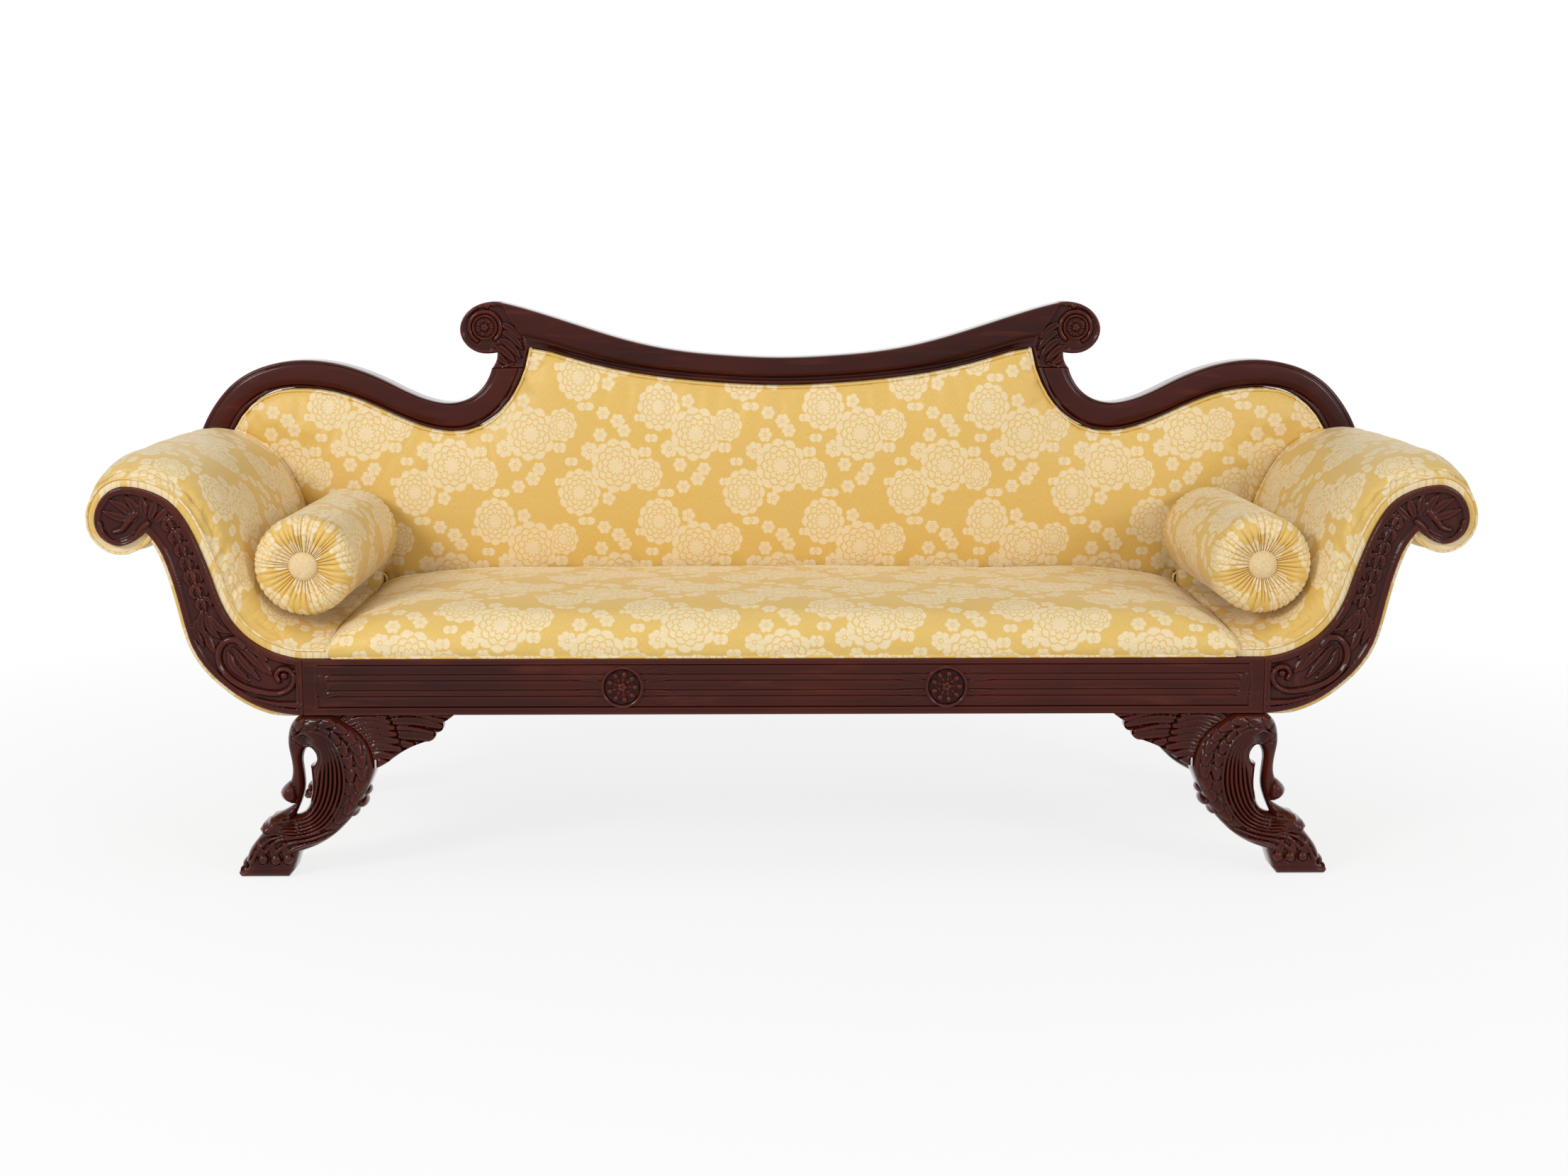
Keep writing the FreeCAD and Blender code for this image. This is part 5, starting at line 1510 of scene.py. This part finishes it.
def arm_rings():
    """Stations from front to back: each a loop of the outer line and, back along it, the inner line."""
    deep = np.concatenate([[0, 0.5, 1.4, 3.0, 5.5, 9], np.geomspace(14, 150, 26), np.linspace(165, 540, 34)])
    deep = np.concatenate([deep, arm_back - arm_front - np.array([42, 30, 20, 12, 6, 2.5, 0.6, 0])])
    rings, uvs = [], []
    total = arm_back - arm_front
    for far in deep:
        front_face = PIPE_OUT * (1 - (1 - min(far / 2.2, 1)) ** 2) ** 0.5
        swell = (1 - math.exp(-far / 52.0)) * math.exp(-(max(0.0, 26 - (total - far)) / 26) ** 2 * 0.5)
        groove = 2.0 * math.exp(-((far - 6) / 3.0) ** 2)
        away = 1.2 + front_face + (arm_thick - PIPE_OUT).clip(0) * swell - groove
        rear = np.clip((arm_front + far - BOLSTER_REAR) / 60, 0, 1) ** 0.7
        corner = CORNER_RISE * rear * np.exp(-(flat_run / 110) ** 2)
        away = np.maximum(away + tucks(flat_run, far, 77) + corner, 1.0)
        outer = arm_edge + arm_out * away[:, None]
        inner = arm_edge + arm_out * 0.4
        inner[0, 0] = SEAM_X
        ring = np.vstack([outer, inner[::-1]])
        y = arm_front + far
        rings.append(np.stack([ring[:, 0], np.full(len(ring), y), ring[:, 1]], -1))
        run = lengths(outer)
        uvs.append(np.stack([np.full(len(ring), y), np.concatenate([run, run[::-1]])], -1))
    return np.array(rings), np.array(uvs).reshape(-1, 2) * MM


rings, uv = arm_rings()
rings[..., 0] = np.minimum(rings[..., 0], SEAM_X)
flat = rings.reshape(-1, 3)
soft = np.clip((flat[:, 1] - arm_front - 20) / 60, 0, 1)
flat[:, 2] += soft * 1.2 * ripples(flat, 180.0, 21)
INNER_GAP = 1.0


def arm_seams(place):
    """The tacked edges of an arm's cover: round the board in front, along the core, and at its back."""
    spots = np.stack([-np.abs(place[:, 0]), place[:, 2]], -1) / MM
    held = segment_gap(spots, arm_edge[::4])[0] < INNER_GAP
    y = place[:, 1] / MM
    return held | (y < arm_front + 7) | (y > arm_back - 5) | (spots[:, 0] > SEAM_X - 2)


for side in ("left", "right"):
    turned_rings = rings * MM if side == "left" else mirrored(rings * MM)
    arm = closed_rings(turned_rings, f"arm_cover_{side}", damask_cloth, uv)
    pull_over_stuffing(arm, arm_seams, 0.02, 4.0)
    settle(arm, "frame", "damask", f"arm_pad_{side}")
    seam = arm_edge[3:] + arm_out[3:] * (PIPE_OUT + 0.5)
    path = np.stack([seam[:, 0], np.full(len(seam), arm_front + 0.5), seam[:, 1]], -1) * MM
    path = path if side == "left" else mirrored(path)
    cord_tube(f"arm_piping_cord_{side}", path, 2.2 * MM, damask_cloth, f"arm_piping_{side}")

# %% [markdown]
# ## Covers under the arms
# A thin padded cover closes the arm's underside, from the crotch of the volute down to the seat rail. It
# shows from the front as a narrow band of cloth round the board.

# %% Outside arm covers
under_edge = edge_between(arm_loops[0], (-1.050, 0.587), (-0.800, 0.280), (-0.930, 0.330)) / MM
under_edge = resample(under_edge, 240)
under_out = side_normals(under_edge)
if under_out[120, 0] > 0:
    under_out = -under_out
under_out = smoothed(under_out, 30)
under_out /= np.linalg.norm(under_out, axis=1)[:, None]
COVER_BAND = 7.5
cover_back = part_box("arm_outside_cover_left")[1][1] / MM
run = lengths(under_edge)
band = COVER_BAND * np.clip(1 - np.exp(-(run + 6) / 14), 0, 1) * np.clip((run[-1] - run + 8) / 60, 0.15, 1)


def cover_rings():
    deep = np.concatenate([[0, 0.6, 1.8, 3.6, 6.5, 10], np.linspace(20, cover_back - arm_front - 20, 40)])
    deep = np.concatenate([deep, cover_back - arm_front - np.array([8, 3, 0.8, 0])])
    rings, uvs = [], []
    total = cover_back - arm_front
    for far in deep:
        inset = min(far, total - far)
        grow = (1 - (1 - min(inset / 5.0, 1)) ** 2) ** 0.5
        outer = under_edge + under_out * (0.6 + (band * (0.25 + 0.75 * grow))[:, None])
        inner = under_edge + under_out * 0.4
        ring = np.vstack([outer, inner[::-1]])
        rings.append(np.stack([ring[:, 0], np.full(len(ring), arm_front + far), ring[:, 1]], -1))
        along = lengths(outer)
        uvs.append(np.stack([np.full(len(ring), arm_front + far), np.concatenate([along, along[::-1]])], -1))
    return np.array(rings), np.array(uvs).reshape(-1, 2) * MM


rings, uv = cover_rings()
for side in ("left", "right"):
    turned_rings = rings * MM if side == "left" else mirrored(rings * MM)
    under = closed_rings(turned_rings, f"arm_under_cover_{side}", damask_cloth, uv)
    settle(under, "frame", "damask", f"arm_outside_cover_{side}")

# %% [markdown]
# ## Bolsters
# A bolster is a tube whose ends are gathered by a running thread and closed by a covered button. Gathers are
# uneven: some run to the rim and some die out half way. Each fold gets its own width, depth and reach from a
# seeded draw. The ridges are round and the valleys sharp, as in real gathered cloth.

# %% Gathered bolsters and their buttons
FOLDS = 44
END_ROUND, END_DISH, BUTTON_RADIUS = 30.0, 12.0, 25.0


def fold_heights(angles, seed):
    """For each angle: the fold's ridge height from 0 to 1, and how far out the fold reaches."""
    draw = np.random.default_rng(seed)
    widths = draw.uniform(0.5, 1.5, FOLDS)
    edges = np.concatenate([[0], np.cumsum(widths)]) / widths.sum() * 2 * np.pi
    which = np.clip(np.searchsorted(edges, angles, side="right") - 1, 0, FOLDS - 1)
    place = (angles - edges[which]) / (edges[which + 1] - edges[which])
    ridge = np.sin(np.pi * np.clip(place, 0, 1)) ** 0.55
    reach = draw.uniform(0.35, 1.0, FOLDS)
    other = np.where(place > 0.5, (which + 1) % FOLDS, (which - 1) % FOLDS)
    near = reach[which] + (reach[other] - reach[which]) * np.abs(place - 0.5)
    return ridge, near


def bolster_surface(radius, length, seed):
    """A grid of rings and angles, from button to button: each point's radius and place along the axis."""
    angles = np.linspace(0, 2 * np.pi, 481)
    half = length / 2
    rim = radius - END_ROUND
    inner = BUTTON_RADIUS - 4  # the gathers start under the button's edge
    flat = np.linspace(inner, rim, 16)
    end = [(r, -half + END_DISH * (1 - (r - inner) / (rim - inner)) ** 1.3) for r in flat]
    turn = np.linspace(0, np.pi / 2, 14)[1:]
    end += [(rim + END_ROUND * math.sin(t), -half + END_ROUND * (1 - math.cos(t))) for t in turn]
    middle = [(radius, y) for y in np.linspace(-half + END_ROUND, half - END_ROUND, 44)[1:-1]]
    profile = np.array(end + middle + [(r, -y) for r, y in end[::-1]])
    run = lengths(profile)
    ring = np.empty((len(profile), len(angles), 2))
    for i, (r, y) in enumerate(profile):
        front = y < 0
        ridge, reach = fold_heights(angles, seed + (0 if front else 1))
        out = min(run[i], run[-1] - run[i])
        fade = np.clip(1 - out / (60 + 70 * reach), 0, 1) ** 0.6 * min(1.0, out / 10 + 0.45)
        depth = 5.6 * (ridge - 0.66) * fade
        bulge = min(1.0, max(0.0, (r - rim) / END_ROUND))
        ring[i, :, 0] = r + depth * bulge
        ring[i, :, 1] = y - (1 if front else -1) * depth * (1 - bulge)
    return run, angles, ring


def bolster(side, seed):
    low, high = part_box(f"bolster_{side}")
    centre = [(a + b) / 2 / MM for a, b in zip(low, high)]
    radius = (high[2] - low[2]) / 2 / MM
    run, angles, ring = bolster_surface(radius, (high[1] - low[1]) / MM, seed)
    r, y = ring[..., 0], ring[..., 1]
    place = np.stack([centre[0] + r * np.sin(angles), centre[1] + y, centre[2] + r * np.cos(angles)], -1)
    flat = place.reshape(-1, 3)
    around = np.clip((np.minimum(run, run[-1] - run) - 60) / 50, 0, 1)[:, None]
    place[..., 2] += around * 0.9 * ripples(flat, 150.0, seed + 5).reshape(r.shape)
    place[:, -1] = place[:, 0]
    uv = np.stack([np.repeat(run, len(angles)), np.tile(angles * radius, len(run))], -1) * MM
    verts = place.reshape(-1, 3) * MM
    faces = [tuple(f) for f in grid_faces(*r.shape)]
    last = (len(run) - 1) * len(angles)
    faces += [tuple(range(len(angles) - 1)), tuple(range(last, last + len(angles) - 1))]
    piece = finish_mesh(f"bolster_cover_{side}", verts, faces, damask_cloth, uv=uv, sharp=70)
    # The damask paints shade into the gathers' hollows from this.
    store_hollowness(piece, 0.9, 4)
    settle(piece, f"bolster_{side}", "damask", f"bolster_{side}")
    return centre


def covered_buttons(side, centre):
    """Two cloth-covered buttons: a low dome with a rolled edge, one at each end."""
    low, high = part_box(f"bolster_buttons_{side}")
    dome = [(0, 0.0), (6, 0.25), (12, 1.2), (17, 2.9), (21, 5.4), (23.6, 8.0), (24.4, 10.0),
            (23.0, 12.5), (0, 12.5)]
    parts = []
    for y, sign in ((low[1], 1), (high[1], -1)):
        verts, faces = turned(dome, (0, 0, 0), 48)
        verts[:, 1] *= sign
        verts += (centre[0] * MM, y, centre[2] * MM)
        parts.append((verts, faces))
    verts, faces = joined(parts)
    piece = finish_mesh(f"bolster_button_pair_{side}", verts, faces, button_cloth, sharp=60)
    settle(piece, f"bolster_{side}", "damask", f"bolster_buttons_{side}")


button_cloth = woven("button_cloth", rgba(238, 214, 170), rgba(214, 184, 128), 800.0, 0.6)
for side, seed in (("left", 31), ("right", 47)):
    centre = bolster(side, seed)
    covered_buttons(side, centre)

# %% [markdown]
# ## Flat covers
# The outside back and the black lining under the seat are single cloths pulled flat and tacked round their
# edges.


# %% Outside back cover and lining
def flat_sheet(name, loops, y, thick, puff, step, finish):
    """A stretched cloth with its face at +Y: a thin slab that swells by a little between its tacks."""

    def swell(work):
        work.height += puff * MM * (1 - np.exp(-work.gap / (30 * MM)))

    verts, faces = relief(loops, swell, -(y + thick), -y, step, 0.8 * MM)
    verts[:, 1] = -verts[:, 1]
    piece = finish_mesh(name, verts, faces, finish, uv=verts[:, [0, 2]])
    spots, triangles, _ = fill_outline(loops, step, inner=False)
    corners = spots[triangles]
    area = abs(np.cross(corners[:, 1] - corners[:, 0], corners[:, 2] - corners[:, 0])).sum() / 2
    return piece, area


SHEET_THICK = 1.2 * MM
low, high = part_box("outside_back_cover")
cover_loops = plane_loops("outside_back_cover", high[1])
outside, area = flat_sheet("outside_back_cloth", cover_loops, low[1] + SHEET_THICK, SHEET_THICK, 1.0, 12 * MM,
                           damask_cloth)
settle(outside, "frame", "damask", "outside_back_cover")

LINING_COLUMNS, LINING_ROWS = 100, 40
low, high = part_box("dust_cover")
across, along = np.meshgrid(np.linspace(low[0], high[0], LINING_COLUMNS),
                            np.linspace(low[1], high[1], LINING_ROWS))
edge = np.minimum(np.minimum(across - low[0], high[0] - across), np.minimum(along - low[1], high[1] - along))
sag = -3.0 * MM * (1 - np.exp(-edge / 0.1))
under = np.stack([across, along, low[2] + sag], -1)
over = under + (0, 0, SHEET_THICK)
size = LINING_COLUMNS * LINING_ROWS
faces = np.vstack([grid_faces(*across.shape), grid_faces(*across.shape) + size])
at = np.arange(size).reshape(LINING_ROWS, LINING_COLUMNS)
rim = np.concatenate([at[0], at[1:, -1], at[-1, -2::-1], at[-2:0:-1, 0]])
after = np.roll(rim, -1)
faces = np.vstack([faces, np.stack([rim, after, after + size, rim + size], -1)])
verts = np.vstack([under.reshape(-1, 3), over.reshape(-1, 3)])
lining = finish_mesh("seat_lining", verts, faces, lining_cloth, uv=verts[:, :2])
settle(lining, "frame", "lining", "dust_cover")

# %% [markdown]
# ## Pieces that stay as the CAD model made them
# The hidden frame, webbing, lining and steelwork have their true shapes already and only need a finish.

# %% Finishes for the carried-over nodes
FINISHES = {
    "back_seat_rail": hidden_wood, "end_seat_rail": hidden_wood, "seat_bearers": hidden_wood,
    "corner_blocks": hidden_wood, "arm_scroll_back": hidden_wood, "arm_slats": hidden_wood,
    "back_posts": hidden_wood, "back_tack_rail": hidden_wood, "seat_webbing": webbing_cloth,
    "back_webbing": webbing_cloth, "seat_hessian": hessian_cloth, "back_hessian": hessian_cloth,
    "leg_bolts": steel, "leg_plates": steel,
}
for name, node in nodes.items():
    finish = FINISHES.get(name.removesuffix("_left").removesuffix("_right"))
    if finish is not None:
        for place in node.material_slots:
            place.material = finish
print("finished", len(FINISHES), "kinds of carried-over node")
